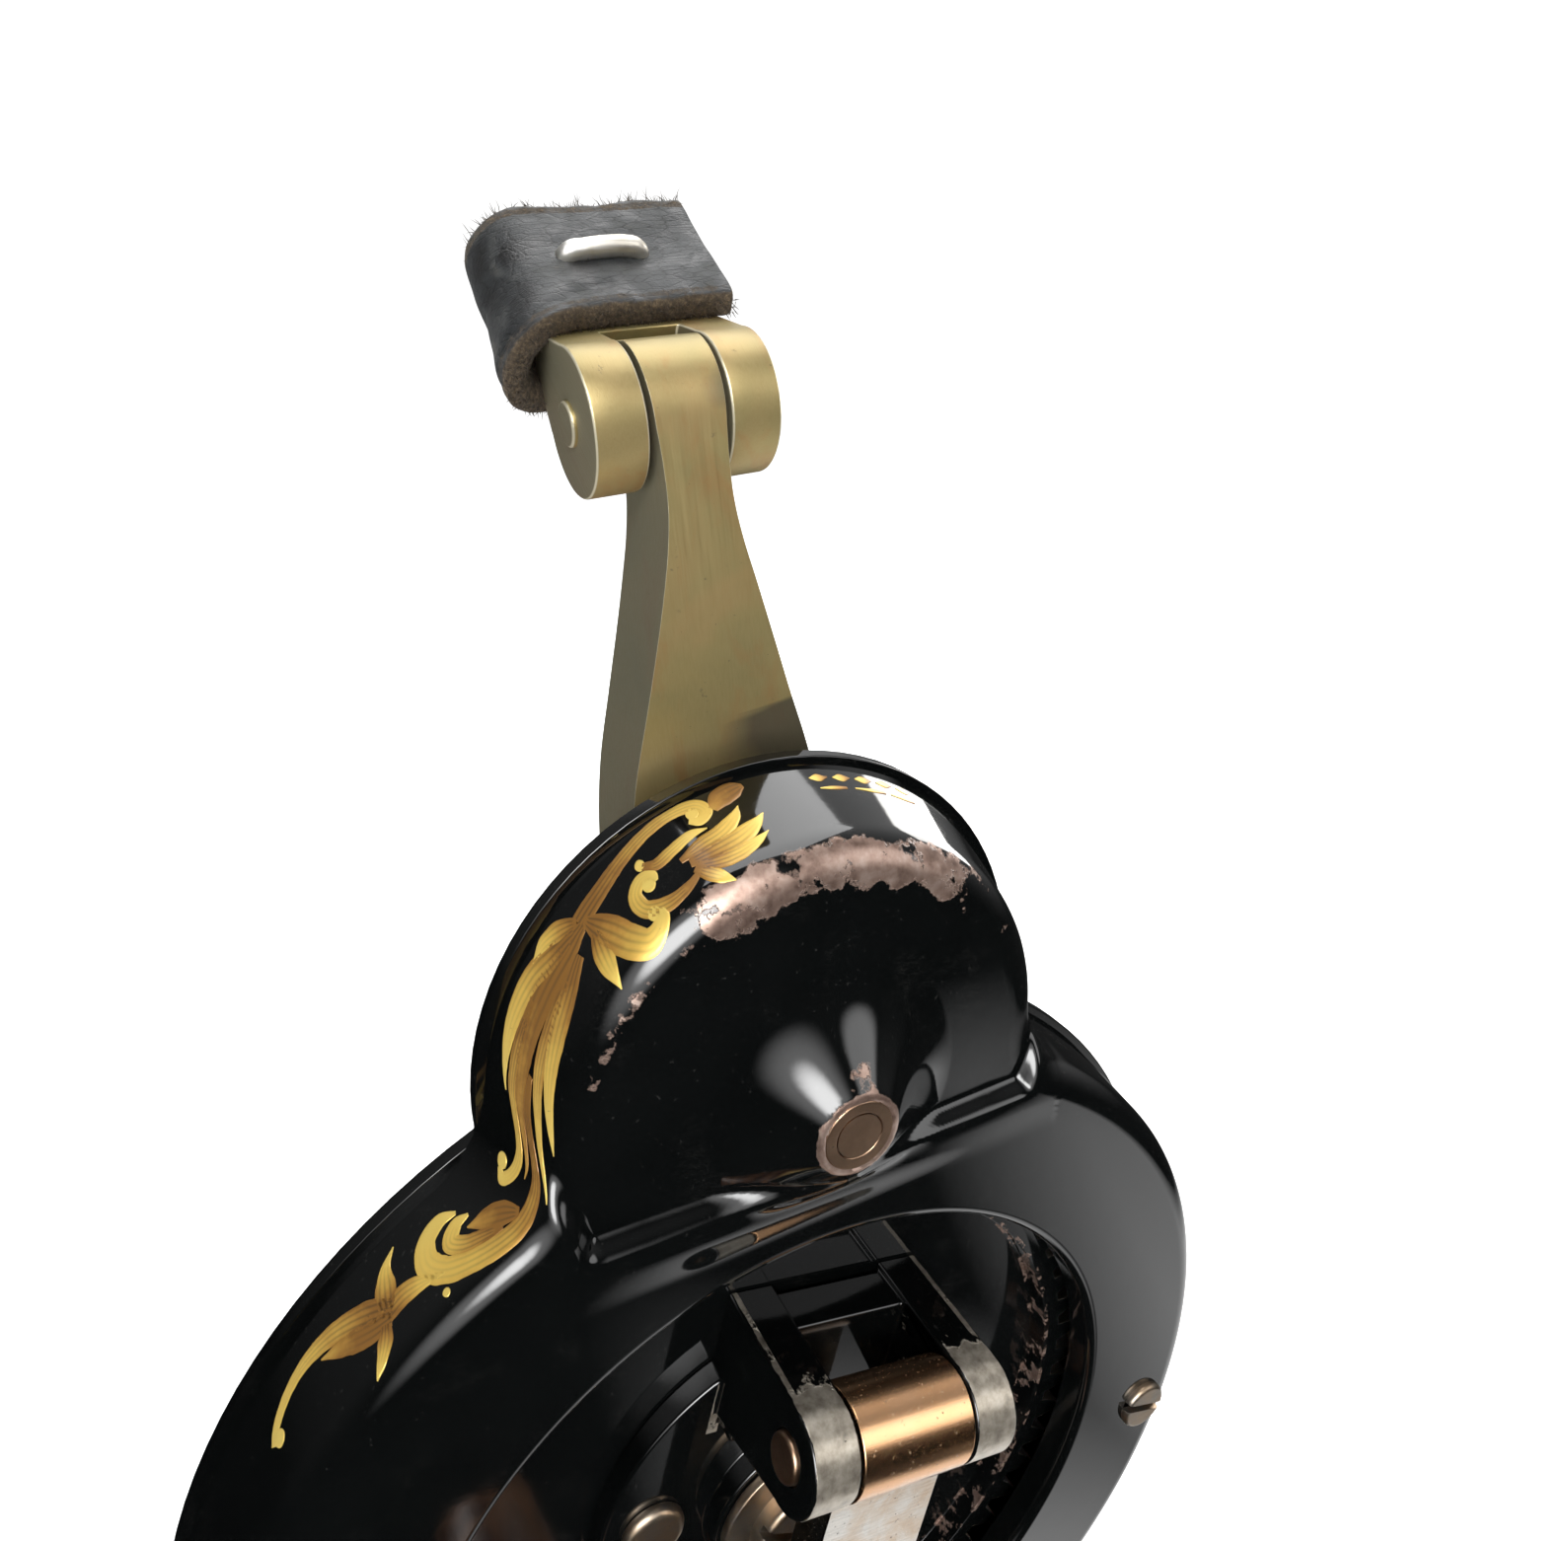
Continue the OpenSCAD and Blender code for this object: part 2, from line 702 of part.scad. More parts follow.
module finger_fork() {
    color("#8f7f5c") place() finger_frame() difference() {
        union() {
            for (side = [-1, 1])
                translate([side * (lug_inner + lug_outer) / 2, 0, 0]) {
                    rod_x(lug_r, -(lug_outer - lug_inner) / 2, (lug_outer - lug_inner) / 2);
                    slab_x(-(lug_outer - lug_inner) / 2, (lug_outer - lug_inner) / 2)
                        polygon([[-lug_r, 0], [lug_r, 0], [finger_t / 2, plate_start + 1],
                                 [-finger_t / 2, plate_start + 1]]);
                }
            translate([-finger_w / 2, -finger_t / 2, plate_start])
                cube([finger_w, finger_t, finger_len - plate_start]);
        }
        rod_x(finger_pin_r + snug_gap, -lug_outer - cut, lug_outer + cut);
    }
}

module finger_hinge_pin() {
    color("#b4aea2") place() finger_frame()
        rod_x(finger_pin_r, -lug_outer - pin_proud, lug_outer + pin_proud);
}

module leather_pad() {
    half_t = finger_t / 2 + leather_t;
    color("#2c2724") place() finger_frame() difference() {
        translate([-leather_left, -half_t, leather_start])
            cube([leather_left + leather_right, 2 * half_t, leather_end - leather_start]);
        translate([-finger_w / 2 - 0.1, -finger_t / 2 - 0.05, 0])
            cube([finger_w + 0.2, finger_t + 0.1, finger_len + 0.1]);
        for (side = [-1, 1])
            translate([side * staple_half, 0, staple_at]) rotate([90, 0, 0])
                cylinder(r = staple_r + snug_gap, h = 4 * half_t, center = true);
    }
}

module pad_staple() {
    half_t = finger_t / 2 + leather_t;
    color("#c9c6c0") place() finger_frame() {
        translate([0, -half_t - staple_r, staple_at]) rod_x(staple_r, -staple_half, staple_half);
        for (side = [-1, 1])
            translate([side * staple_half, -finger_t / 2 - 0.1, staple_at]) rotate([90, 0, 0])
                cylinder(r = staple_r, h = half_t + staple_r - finger_t / 2 - 0.1);
    }
}

gear_housing();
back_plate();
mounting_bracket();
bracket_screws();
housing_screws();
axle_stud();
axle_washer();
axle_screw();
front_bush();
rear_bush();
crank_gear();
crank_hub();
hub_rivets();
crank_hinge_pin();
crank_arm();
handle_spindle();
handle_washer();
handle_ferrule();
wooden_handle();
pinion();
pinion_shaft();
driver_arm();
arm_taper_pin();
finger_fork();
finger_hinge_pin();
leather_pad();
pad_staple();
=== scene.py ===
"""Looks for the hand-crank drive unit of an antique sewing machine, built around its CAD frame."""
import json
import math
import random

import bmesh
import bpy
import numpy as np
from mathutils import Matrix, Vector, noise

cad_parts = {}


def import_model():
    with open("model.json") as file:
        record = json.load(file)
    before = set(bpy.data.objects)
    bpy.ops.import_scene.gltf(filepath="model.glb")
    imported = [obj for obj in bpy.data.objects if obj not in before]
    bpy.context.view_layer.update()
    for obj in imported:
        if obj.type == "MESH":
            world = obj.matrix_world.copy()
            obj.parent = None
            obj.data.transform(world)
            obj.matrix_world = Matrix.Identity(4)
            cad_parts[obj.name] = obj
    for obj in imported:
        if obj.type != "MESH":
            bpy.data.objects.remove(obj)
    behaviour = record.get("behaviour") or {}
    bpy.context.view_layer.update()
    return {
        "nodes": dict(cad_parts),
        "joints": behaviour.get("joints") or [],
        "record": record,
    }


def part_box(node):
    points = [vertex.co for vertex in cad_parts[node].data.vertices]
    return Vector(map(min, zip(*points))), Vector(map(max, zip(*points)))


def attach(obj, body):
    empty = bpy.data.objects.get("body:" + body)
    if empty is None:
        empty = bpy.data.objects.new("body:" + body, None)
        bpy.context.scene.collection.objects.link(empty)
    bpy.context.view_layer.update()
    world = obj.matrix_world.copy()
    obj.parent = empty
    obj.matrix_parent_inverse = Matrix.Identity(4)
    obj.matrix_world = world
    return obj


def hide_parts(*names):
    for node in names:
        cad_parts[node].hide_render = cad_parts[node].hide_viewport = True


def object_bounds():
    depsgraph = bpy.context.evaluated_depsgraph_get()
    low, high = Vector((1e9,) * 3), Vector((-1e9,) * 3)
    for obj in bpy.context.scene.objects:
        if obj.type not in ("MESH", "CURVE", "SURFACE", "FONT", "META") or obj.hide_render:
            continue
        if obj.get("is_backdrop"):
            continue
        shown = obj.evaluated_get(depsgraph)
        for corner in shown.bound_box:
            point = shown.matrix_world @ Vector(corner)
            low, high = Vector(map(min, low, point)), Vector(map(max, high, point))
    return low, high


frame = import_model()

MM = 0.001
JOINTS = {joint["name"]: joint for joint in frame["joints"]}
BODY_OF = {node: body for body, nodes in frame["record"]["behaviour"]["bodies"].items() for node in nodes}
SLOT_OF = {part["node"]: part["material_slot"] for part in frame["record"]["subparts"]}

# ---- Places and sizes, in millimetres from the crank axis on the front ring's plane ----

AXIS = Vector(JOINTS["crank_spin"]["pos_m"])
PINION = Vector(JOINTS["pinion_spin"]["pos_m"])
CENTRE_DISTANCE = (PINION - AXIS).z / MM
HOUSING_LOW, HOUSING_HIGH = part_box("gear_housing")
DISC_BACK_R = (HOUSING_HIGH - HOUSING_LOW).x / 2 / MM
DISC_R = DISC_BACK_R - 1.5
DOME_BACK_R = (HOUSING_HIGH - PINION).z / MM
DOME_R = DOME_BACK_R - 3.9
SHELL_DEPTH = (HOUSING_HIGH - AXIS).y / MM
BOSS_TIP_Y = (HOUSING_LOW - AXIS).y / MM
OPENING_R = 34.7
DOME_SET_BACK = 1.5
JUNCTION_Z = 42.0
JUNCTION_SLOPE = 0.05
FILLET = 5.0
EDGE_R = 2.3
LIP_R = 0.9
WALL = 2.8
RING_WALL = 3.2


def at(x, y, z):
    """A point given in millimetres from the crank axis, in the row frame."""
    return AXIS + Vector((x, y, z)) * MM


def frame_at(origin, x_axis, z_axis):
    """The matrix of a local frame; its Y completes the right-handed set."""
    x_axis = Vector(x_axis).normalized()
    z_axis = Vector(z_axis).normalized()
    rotation = Matrix((x_axis, z_axis.cross(x_axis), z_axis)).transposed()
    return Matrix.Translation(origin) @ rotation.to_4x4()


FOLD_X = -Vector(JOINTS["crank_fold"]["axis"])
FOLD_Z = FOLD_X.cross(Vector((0, 1, 0)))
FOLD = frame_at(Vector(JOINTS["crank_fold"]["pos_m"]), FOLD_X, FOLD_Z)
CRANK = frame_at(AXIS, FOLD_X, FOLD_Z)
HANDLE = frame_at(Vector(JOINTS["handle_spin"]["pos_m"]), FOLD_X, FOLD_Z)
DRIVER_X = Vector(JOINTS["finger_fold"]["axis"])
FINGER_PIN = Vector(JOINTS["finger_fold"]["pos_m"])
DRIVER = frame_at(Vector((PINION.x, FINGER_PIN.y, PINION.z)), DRIVER_X, DRIVER_X.cross(Vector((0, 1, 0))))
FINGER_LEAN = math.radians(50)
FINGER = frame_at(FINGER_PIN, DRIVER_X,
                  Matrix.Rotation(-FINGER_LEAN, 3, DRIVER_X) @ DRIVER.col[2].to_3d())

# ---- Node helpers ----


def shader(tree, kind, inputs=None, **settings):
    """Adds a shader node; an input given as a socket is linked, anything else is its value."""
    made = tree.nodes.new(kind)
    for key, value in settings.items():
        setattr(made, key, value)
    for key, value in (inputs or {}).items():
        if isinstance(value, bpy.types.NodeSocket):
            tree.links.new(value, made.inputs[key])
        else:
            made.inputs[key].default_value = value
    return made


def start_material(name, **values):
    """A material with a Principled shader, and coordinates in millimetres of the piece's own frame."""
    made = bpy.data.materials.new(name)
    made.use_nodes = True
    tree = made.node_tree
    bsdf = tree.nodes["Principled BSDF"]
    for key, value in values.items():
        bsdf.inputs[key.replace("_", " ")].default_value = value
    position = shader(tree, "ShaderNodeTexCoord").outputs["Object"]
    millimetres = shader(tree, "ShaderNodeVectorMath", {0: position, 1: (1000, 1000, 1000)},
                         operation="MULTIPLY").outputs[0]
    return made, tree, bsdf, millimetres


def stretched(tree, vector, scale):
    return shader(tree, "ShaderNodeVectorMath", {0: vector, 1: scale}, operation="MULTIPLY").outputs[0]


def noise_of(tree, vector, scale, detail=4.0, roughness=0.55, distortion=0.0):
    return shader(tree, "ShaderNodeTexNoise",
                  {"Vector": vector, "Scale": scale, "Detail": detail, "Roughness": roughness,
                   "Distortion": distortion}).outputs["Fac"]


def ramp(tree, factor, *stops):
    """A colour ramp from (place, colour) stops; a plain number stands for a grey."""
    made = shader(tree, "ShaderNodeValToRGB", {"Fac": factor})
    points = made.color_ramp.elements
    while len(points) < len(stops):
        points.new(0.5)
    for point, (place, colour) in zip(points, stops):
        point.position = place
        point.color = (colour,) * 3 + (1,) if isinstance(colour, (int, float)) else (*colour, 1)
    return made.outputs["Color"]


def mixed(tree, factor, a, b):
    """Colour a turning into colour b."""
    made = shader(tree, "ShaderNodeMix", data_type="RGBA")
    for index, value in ((0, factor), (6, a), (7, b)):
        if isinstance(value, bpy.types.NodeSocket):
            tree.links.new(value, made.inputs[index])
        else:
            made.inputs[index].default_value = value if index == 0 else (*value, 1)
    return made.outputs[2]


def maths(tree, operation, a, b=0.0):
    return shader(tree, "ShaderNodeMath", {0: a, 1: b}, operation=operation).outputs[0]


def times(tree, a, b):
    return maths(tree, "MULTIPLY", a, b)


def plus(tree, a, b):
    return maths(tree, "ADD", a, b)


def minus(tree, a, b):
    return maths(tree, "SUBTRACT", a, b)


def most(tree, a, b):
    return maths(tree, "MAXIMUM", a, b)


def size_of(tree, value):
    return maths(tree, "ABSOLUTE", value)


def tinted(tree, base, mask, share, colour):
    """The base with a share of a colour mixed in where the mask is high."""
    return mixed(tree, times(tree, mask, share), base, colour)


def mapped(tree, value, near, far, start=0.0, end=1.0, **settings):
    """The value from near to far, stretched to run from start to end and held there outside."""
    return shader(tree, "ShaderNodeMapRange", {0: value, 1: near, 2: far, 3: start, 4: end},
                  **settings).outputs[0]


def parts_of(tree, vector):
    return shader(tree, "ShaderNodeSeparateXYZ", {0: vector}).outputs


def own_normal(tree):
    return parts_of(tree, shader(tree, "ShaderNodeTexCoord").outputs["Normal"])


def bump(tree, bsdf, height, distance):
    made = shader(tree, "ShaderNodeBump", {"Height": height, "Distance": distance * MM})
    tree.links.new(made.outputs[0], bsdf.inputs["Normal"])


def attribute(tree, name):
    return shader(tree, "ShaderNodeAttribute", attribute_name=name).outputs["Fac"]


def link(tree, socket, bsdf, name):
    tree.links.new(socket, bsdf.inputs[name])


# ---- Materials ----

GEAR_RIM_R = 32.6
EAR_OUTER = 10.2


def painted_wear(tree, mm):
    """The wear that was worked out for each point of a mesh."""
    return attribute(tree, "wear")


def ear_wear(tree, mm):
    """Wear of the clevis: its round ends are bare, and so are the ears' inner faces in places."""
    normal = own_normal(tree)
    place = parts_of(tree, mm)
    rim = minus(tree, 1.0, size_of(tree, normal[0]))
    front = mapped(tree, place[1], 5.5, 0.5)
    ends = times(tree, times(tree, rim, front), 0.72)
    inwards = times(tree, normal[0], maths(tree, "SIGN", place[0]))
    inner = times(tree, maths(tree, "LESS_THAN", inwards, -0.9), 0.34)
    off_side = minus(tree, size_of(tree, place[0]), EAR_OUTER)
    outer = maths(tree, "LESS_THAN", size_of(tree, off_side), 0.55)
    edge = times(tree, times(tree, outer, rim), 0.62)
    on_ear = maths(tree, "GREATER_THAN", 9.0, size_of(tree, place[2]))
    return times(tree, most(tree, most(tree, ends, inner), edge), on_ear)


def web_wear(tree, mm):
    """Wear of the gear's varnished web: only the edge of its rim is rubbed."""
    place = parts_of(tree, mm)
    radius = maths(tree, "SQRT", plus(tree, times(tree, place[0], place[0]), times(tree, place[2], place[2])))
    off_rim = size_of(tree, minus(tree, radius, GEAR_RIM_R))
    return times(tree, maths(tree, "LESS_THAN", off_rim, 0.45), 0.43)


BROWN_IRON = ((0.17, 0.105, 0.08), (0.33, 0.225, 0.18), (0.50, 0.385, 0.325))
GREY_IRON = ((0.20, 0.175, 0.14), (0.42, 0.37, 0.30), (0.64, 0.59, 0.51))


def japan_material(name, wear=None, bare_iron=BROWN_IRON):
    """Black stoved varnish; where wear is high, ragged patches of bare iron show."""
    made, tree, bsdf, mm = start_material(name, Coat_Weight=0.2, Coat_Roughness=0.03, Specular_IOR_Level=0.5)
    clouds = noise_of(tree, mm, 0.08, 3)
    dust = ramp(tree, noise_of(tree, mm, 2.6, 2, 0.4), (0.70, 0.0), (0.76, 1.0))
    streaks = noise_of(tree, stretched(tree, mm, (0.25, 1.5, 3.0)), 1.2, 5, 0.7, 0.4)
    scratches = ramp(tree, streaks, (0.492, 0.0), (0.5, 1.0), (0.508, 0.0))
    broken = ramp(tree, noise_of(tree, mm, 0.22, 2), (0.56, 0.0), (0.68, 1.0))
    marks = times(tree, scratches, broken)
    black = mixed(tree, clouds, (0.0015, 0.0018, 0.0018), (0.004, 0.0045, 0.0045))
    black = tinted(tree, black, marks, 0.10, (0.20, 0.19, 0.17))
    black = tinted(tree, black, dust, 0.05, (0.28, 0.27, 0.25))
    rough = ramp(tree, clouds, (0.3, 0.035), (0.7, 0.085))
    rough = tinted(tree, rough, marks, 0.6, (0.45, 0.45, 0.45))
    ripple = noise_of(tree, mm, 0.35, 2, 0.5)
    height = times(tree, ripple, 0.035)
    if wear:
        ragged = plus(tree, times(tree, noise_of(tree, mm, 0.5, 5, 0.62), 1.15),
                      times(tree, noise_of(tree, mm, 3.2, 3, 0.6), 0.09))
        total = minus(tree, plus(tree, plus(tree, wear(tree, mm), 0.055), ragged), 0.7)
        bare = ramp(tree, total, (0.485, 0.0), (0.505, 1.0))
        halo = ramp(tree, total, (0.44, 0.0), (0.485, 1.0), (0.505, 0.0))
        iron_grain = noise_of(tree, mm, 0.9, 5, 0.6)
        iron = ramp(tree, iron_grain, *zip((0.25, 0.5, 0.78), bare_iron))
        colour = mixed(tree, bare, black, iron)
        colour = tinted(tree, colour, halo, 0.6, bare_iron[1])
        rough = mixed(tree, bare, rough, ramp(tree, iron_grain, (0.3, 0.28), (0.7, 0.42)))
        link(tree, times(tree, bare, 0.75), bsdf, "Metallic")
        height = minus(tree, height, times(tree, bare, 0.9))
        height = plus(tree, height, times(tree, iron_grain, 0.03))
    else:
        colour = black
    link(tree, colour, bsdf, "Base Color")
    link(tree, rough, bsdf, "Roughness")
    bump(tree, bsdf, height, 0.1)
    return made


def patina_material(name):
    """Satin steel with an olive-tan patina: fine lengthwise brushing, dark spots, painted light on the side
    faces and a painted highlight along the rounded edges.
    """
    made, tree, bsdf, mm = start_material(name, Metallic=0.6)
    clouds = noise_of(tree, mm, 0.09, 3, 0.5, 0.6)
    base = ramp(tree, clouds, (0.3, (0.205, 0.175, 0.072)),
                (0.5, (0.29, 0.225, 0.09)), (0.7, (0.36, 0.24, 0.10)))
    brushing = noise_of(tree, stretched(tree, mm, (7.0, 7.0, 0.12)), 1.0, 4, 0.65)
    base = tinted(tree, base, brushing, 0.42, (0.50, 0.41, 0.20))
    spots = ramp(tree, noise_of(tree, mm, 0.5, 6, 0.72), (0.66, 0.0), (0.73, 1.0))
    speckle = ramp(tree, noise_of(tree, mm, 1.9, 3, 0.6), (0.70, 0.0), (0.75, 1.0))
    rust = ramp(tree, noise_of(tree, stretched(tree, mm, (1.0, 1.0, 0.35)), 0.22, 5, 0.6, 0.8),
                (0.52, 0.0), (0.68, 1.0))
    base = tinted(tree, base, rust, 0.6, (0.36, 0.19, 0.07))
    base = tinted(tree, base, spots, 0.55, (0.075, 0.07, 0.06))
    base = tinted(tree, base, speckle, 0.5, (0.10, 0.085, 0.06))
    # Painted shade with some staining: the arm is made darker at its corner above the dome and at the hinge
    stain_and_shade = ramp(tree, plus(tree, attribute(tree, "stain_and_shade"), times(tree, clouds, 0.5)),
                 (0.75, 0.0), (1.0, 1.0))
    base = tinted(tree, base, stain_and_shade, 0.75, (0.06, 0.058, 0.052))
    sideways = size_of(tree, own_normal(tree)[0])
    # Painted light: faces that look sideways are made a lighter, cooler grey
    side = ramp(tree, sideways, (0.80, 0.0), (0.93, 1.0))
    base = tinted(tree, base, side, 0.65, (0.25, 0.245, 0.195))
    # Painted highlight: the rounded edges between the front and the sides are made pale and bright
    corner = ramp(tree, sideways, (0.25, 0.0), (0.5, 1.0), (0.8, 1.0), (0.93, 0.0))
    base = tinted(tree, base, corner, 0.8, (0.80, 0.75, 0.58))
    link(tree, base, bsdf, "Base Color")
    rough = ramp(tree, brushing, (0.25, 0.32), (0.75, 0.5))
    rough = tinted(tree, rough, spots, 0.6, (0.65, 0.65, 0.65))
    link(tree, rough, bsdf, "Roughness")
    height = plus(tree, times(tree, brushing, 0.5), times(tree, spots, -0.3))
    bump(tree, bsdf, height, 0.028)
    return made


def steel_material(name, colour, warm, rough_low, rough_high, reflection_colour=None):
    """Machined steel: fine tool lines, faint warm oxide clouds, small dark pits; its end may carry a painted
    warm reflection.
    """
    made, tree, bsdf, mm = start_material(name, Metallic=1.0)
    clouds = noise_of(tree, mm, 0.28, 4, 0.6, 0.4)
    lines = noise_of(tree, stretched(tree, mm, (0.3, 5.0, 5.0)), 1.0, 4, 0.65)
    base = ramp(tree, clouds, (0.34, colour), (0.62, warm))
    # Painted reflection: the upper end of the piece, about the hinge, turns a warm copper colour
    if reflection_colour:
        at_end = plus(tree, parts_of(tree, mm)[2], times(tree, clouds, 3.0))
        tint = mapped(tree, at_end, -2.5, 0.5, 0.0, 0.9)
        base = mixed(tree, tint, base, reflection_colour)
    pits = ramp(tree, noise_of(tree, mm, 2.4, 4, 0.65), (0.66, 0.0), (0.72, 1.0))
    base = tinted(tree, base, pits, 0.55, (0.07, 0.06, 0.05))
    link(tree, base, bsdf, "Base Color")
    rough = ramp(tree, lines, (0.25, rough_low), (0.75, rough_high))
    if reflection_colour:
        rough = mixed(tree, tint, rough, (0.27, 0.27, 0.27))
    rough = tinted(tree, rough, pits, 0.7, (0.6, 0.6, 0.6))
    link(tree, rough, bsdf, "Roughness")
    height = minus(tree, times(tree, lines, 0.4), times(tree, pits, 0.8))
    bump(tree, bsdf, height, 0.012)
    return made


def gold_material(name):
    """Gold leaf under old varnish, browner towards the root of each leaf, with fine dark veins."""
    made, tree, bsdf, mm = start_material(name, Coat_Weight=0.35, Coat_Roughness=0.12)
    shade = attribute(tree, "shade")
    vein = attribute(tree, "vein")
    clouds = noise_of(tree, mm, 0.5, 4, 0.6)
    tone = plus(tree, shade, times(tree, clouds, 0.35))
    gold = ramp(tree, tone, (0.25, (0.92, 0.68, 0.17)), (0.65, (0.80, 0.53, 0.11)),
                (0.9, (0.48, 0.25, 0.05)), (1.0, (0.30, 0.14, 0.03)))
    rubbed = ramp(tree, noise_of(tree, mm, 1.7, 5, 0.7), (0.68, 0.0), (0.73, 1.0))
    gold = tinted(tree, gold, vein, 0.85, (0.055, 0.028, 0.012))
    gold = tinted(tree, gold, rubbed, 0.8, (0.02, 0.018, 0.015))
    link(tree, gold, bsdf, "Base Color")
    link(tree, ramp(tree, clouds, (0.3, 0.34), (0.7, 0.5)), bsdf, "Roughness")
    link(tree, minus(tree, 0.35, times(tree, vein, 0.3)), bsdf, "Metallic")
    bump(tree, bsdf, clouds, 0.02)
    return made


def leather_material(name):
    """Dark creased leather; the edge attribute turns it into the brown fuzzy flesh side."""
    made, tree, bsdf, mm = start_material(name, Sheen_Weight=0.05, Sheen_Roughness=0.5)
    ragged = minus(tree, noise_of(tree, mm, 1.1, 5, 0.7), 0.5)
    edge = plus(tree, attribute(tree, "edge"), times(tree, ragged, 0.9))
    flesh = ramp(tree, edge, (0.34, 0.0), (0.60, 1.0))
    wear = noise_of(tree, mm, 0.35, 5, 0.62, 0.5)
    hide = ramp(tree, wear, (0.34, (0.003, 0.003, 0.003)), (0.5, (0.010, 0.012, 0.013)),
                (0.62, (0.032, 0.034, 0.032)), (0.76, (0.085, 0.072, 0.052)))
    creases = shader(tree, "ShaderNodeTexVoronoi",
                     {"Vector": stretched(tree, mm, (0.5, 1.0, 1.6)), "Scale": 1.1, "Randomness": 1.0},
                     feature="DISTANCE_TO_EDGE").outputs[0]
    crease = ramp(tree, creases, (0.0, 0.0), (0.09, 1.0))
    pores = noise_of(tree, mm, 5.5, 3, 0.6)
    hide = tinted(tree, hide, pores, 0.12, (0.07, 0.066, 0.066))
    hide = mixed(tree, crease, (0.003, 0.003, 0.003), hide)
    fibres = noise_of(tree, mm, 3.4, 6, 0.75)
    tan = ramp(tree, fibres, (0.3, (0.012, 0.009, 0.006)), (0.5, (0.06, 0.042, 0.025)),
               (0.72, (0.20, 0.145, 0.085)))
    link(tree, mixed(tree, flesh, hide, tan), bsdf, "Base Color")
    rough = mixed(tree, flesh, ramp(tree, wear, (0.36, 0.36), (0.62, 0.68)), (0.92, 0.92, 0.92))
    link(tree, rough, bsdf, "Roughness")
    smooth = plus(tree, times(tree, crease, 0.14), times(tree, pores, 0.34))
    smooth = plus(tree, smooth, times(tree, wear, 0.9))
    fuzzy = times(tree, fibres, 1.6)
    height = mixed(tree, flesh, smooth, fuzzy)
    bump(tree, bsdf, height, 0.12)
    return made


def wood_material(name):
    """Dark varnished hardwood; the grain runs along the handle."""
    made, tree, bsdf, mm = start_material(name, Coat_Weight=0.3, Coat_Roughness=0.25)
    flow = shader(tree, "ShaderNodeTexWave",
                  {"Vector": stretched(tree, mm, (1.0, 0.06, 1.0)), "Scale": 0.16, "Distortion": 5.0,
                   "Detail": 4.0, "Detail Scale": 1.4}, wave_type="RINGS", rings_direction="Y").outputs["Fac"]
    pores = noise_of(tree, stretched(tree, mm, (4.0, 0.22, 4.0)), 1.0, 4, 0.7)
    worn = noise_of(tree, mm, 0.06, 3)
    base = ramp(tree, flow, (0.1, (0.075, 0.026, 0.010)), (0.55, (0.16, 0.062, 0.024)),
                (0.95, (0.24, 0.10, 0.04)))
    base = mixed(tree, ramp(tree, pores, (0.55, 0.0), (0.7, 0.8)), base, (0.03, 0.012, 0.006))
    base = mixed(tree, ramp(tree, worn, (0.5, 0.0), (0.75, 0.45)), base, (0.33, 0.17, 0.08))
    link(tree, base, bsdf, "Base Color")
    link(tree, ramp(tree, worn, (0.4, 0.26), (0.7, 0.45)), bsdf, "Roughness")
    bump(tree, bsdf, pores, 0.03)
    return made


def floor_material(name):
    made, tree, bsdf, mm = start_material(name, Roughness=0.9, Emission_Color=(1, 1, 1, 1),
                                          Emission_Strength=0.95)
    link(tree, ramp(tree, noise_of(tree, mm, 0.004, 2), (0.3, 0.88), (0.7, 0.92)), bsdf, "Base Color")
    return made


# Slot: name, colour, warm tint, lowest and highest roughness
STEELS = {
    "screw_steel": ("screw_steel", (0.30, 0.27, 0.23), (0.38, 0.28, 0.19), 0.30, 0.5),
    "bronze": ("worn_bronze", (0.34, 0.22, 0.145), (0.45, 0.29, 0.19), 0.28, 0.45),
    "gear_iron": ("gear_iron", (0.20, 0.19, 0.175), (0.28, 0.23, 0.175), 0.28, 0.5),
    "polished_steel": ("polished_steel", (0.66, 0.63, 0.58), (0.58, 0.42, 0.29), 0.10, 0.24),
    "brass": ("aged_brass", (0.62, 0.44, 0.18), (0.48, 0.30, 0.12), 0.24, 0.42),
    "staple_wire": ("staple_wire", (0.88, 0.87, 0.83), (0.74, 0.69, 0.60), 0.36, 0.5),
}
MATERIALS = {slot: steel_material(*look) for slot, look in STEELS.items()}
MATERIALS |= {
    "japan": japan_material("japan"),
    "wood": wood_material("varnished_wood"),
    "patina_steel": patina_material("patina_steel"),
    "leather": leather_material("leather"),
}
# The crank arm's knuckle gets a painted warm copper reflection on its upper half
ARM_STEEL = steel_material("arm_steel", (0.70, 0.67, 0.62), (0.60, 0.47, 0.35), 0.12, 0.26,
                           reflection_colour=(0.78, 0.43, 0.21))
HOUSING_JAPAN = japan_material("japan_housing", painted_wear)
EAR_JAPAN = japan_material("japan_clevis", ear_wear, GREY_IRON)
WEB_JAPAN = japan_material("japan_gear", web_wear)
GOLD = gold_material("gold_leaf")

# ---- Mesh helpers ----


def new_piece(name, mesh, material, node=None, body=None, place=None):
    """Links a finished mesh, hides the CAD node it stands for, and hangs it on the body that carries it."""
    made = bpy.data.objects.new(name, mesh)
    bpy.context.scene.collection.objects.link(made)
    if place is not None:
        made.matrix_world = place
    mesh.materials.clear()
    mesh.materials.append(material)
    if node:
        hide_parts(node)
    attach(made, body or BODY_OF[node])
    return made


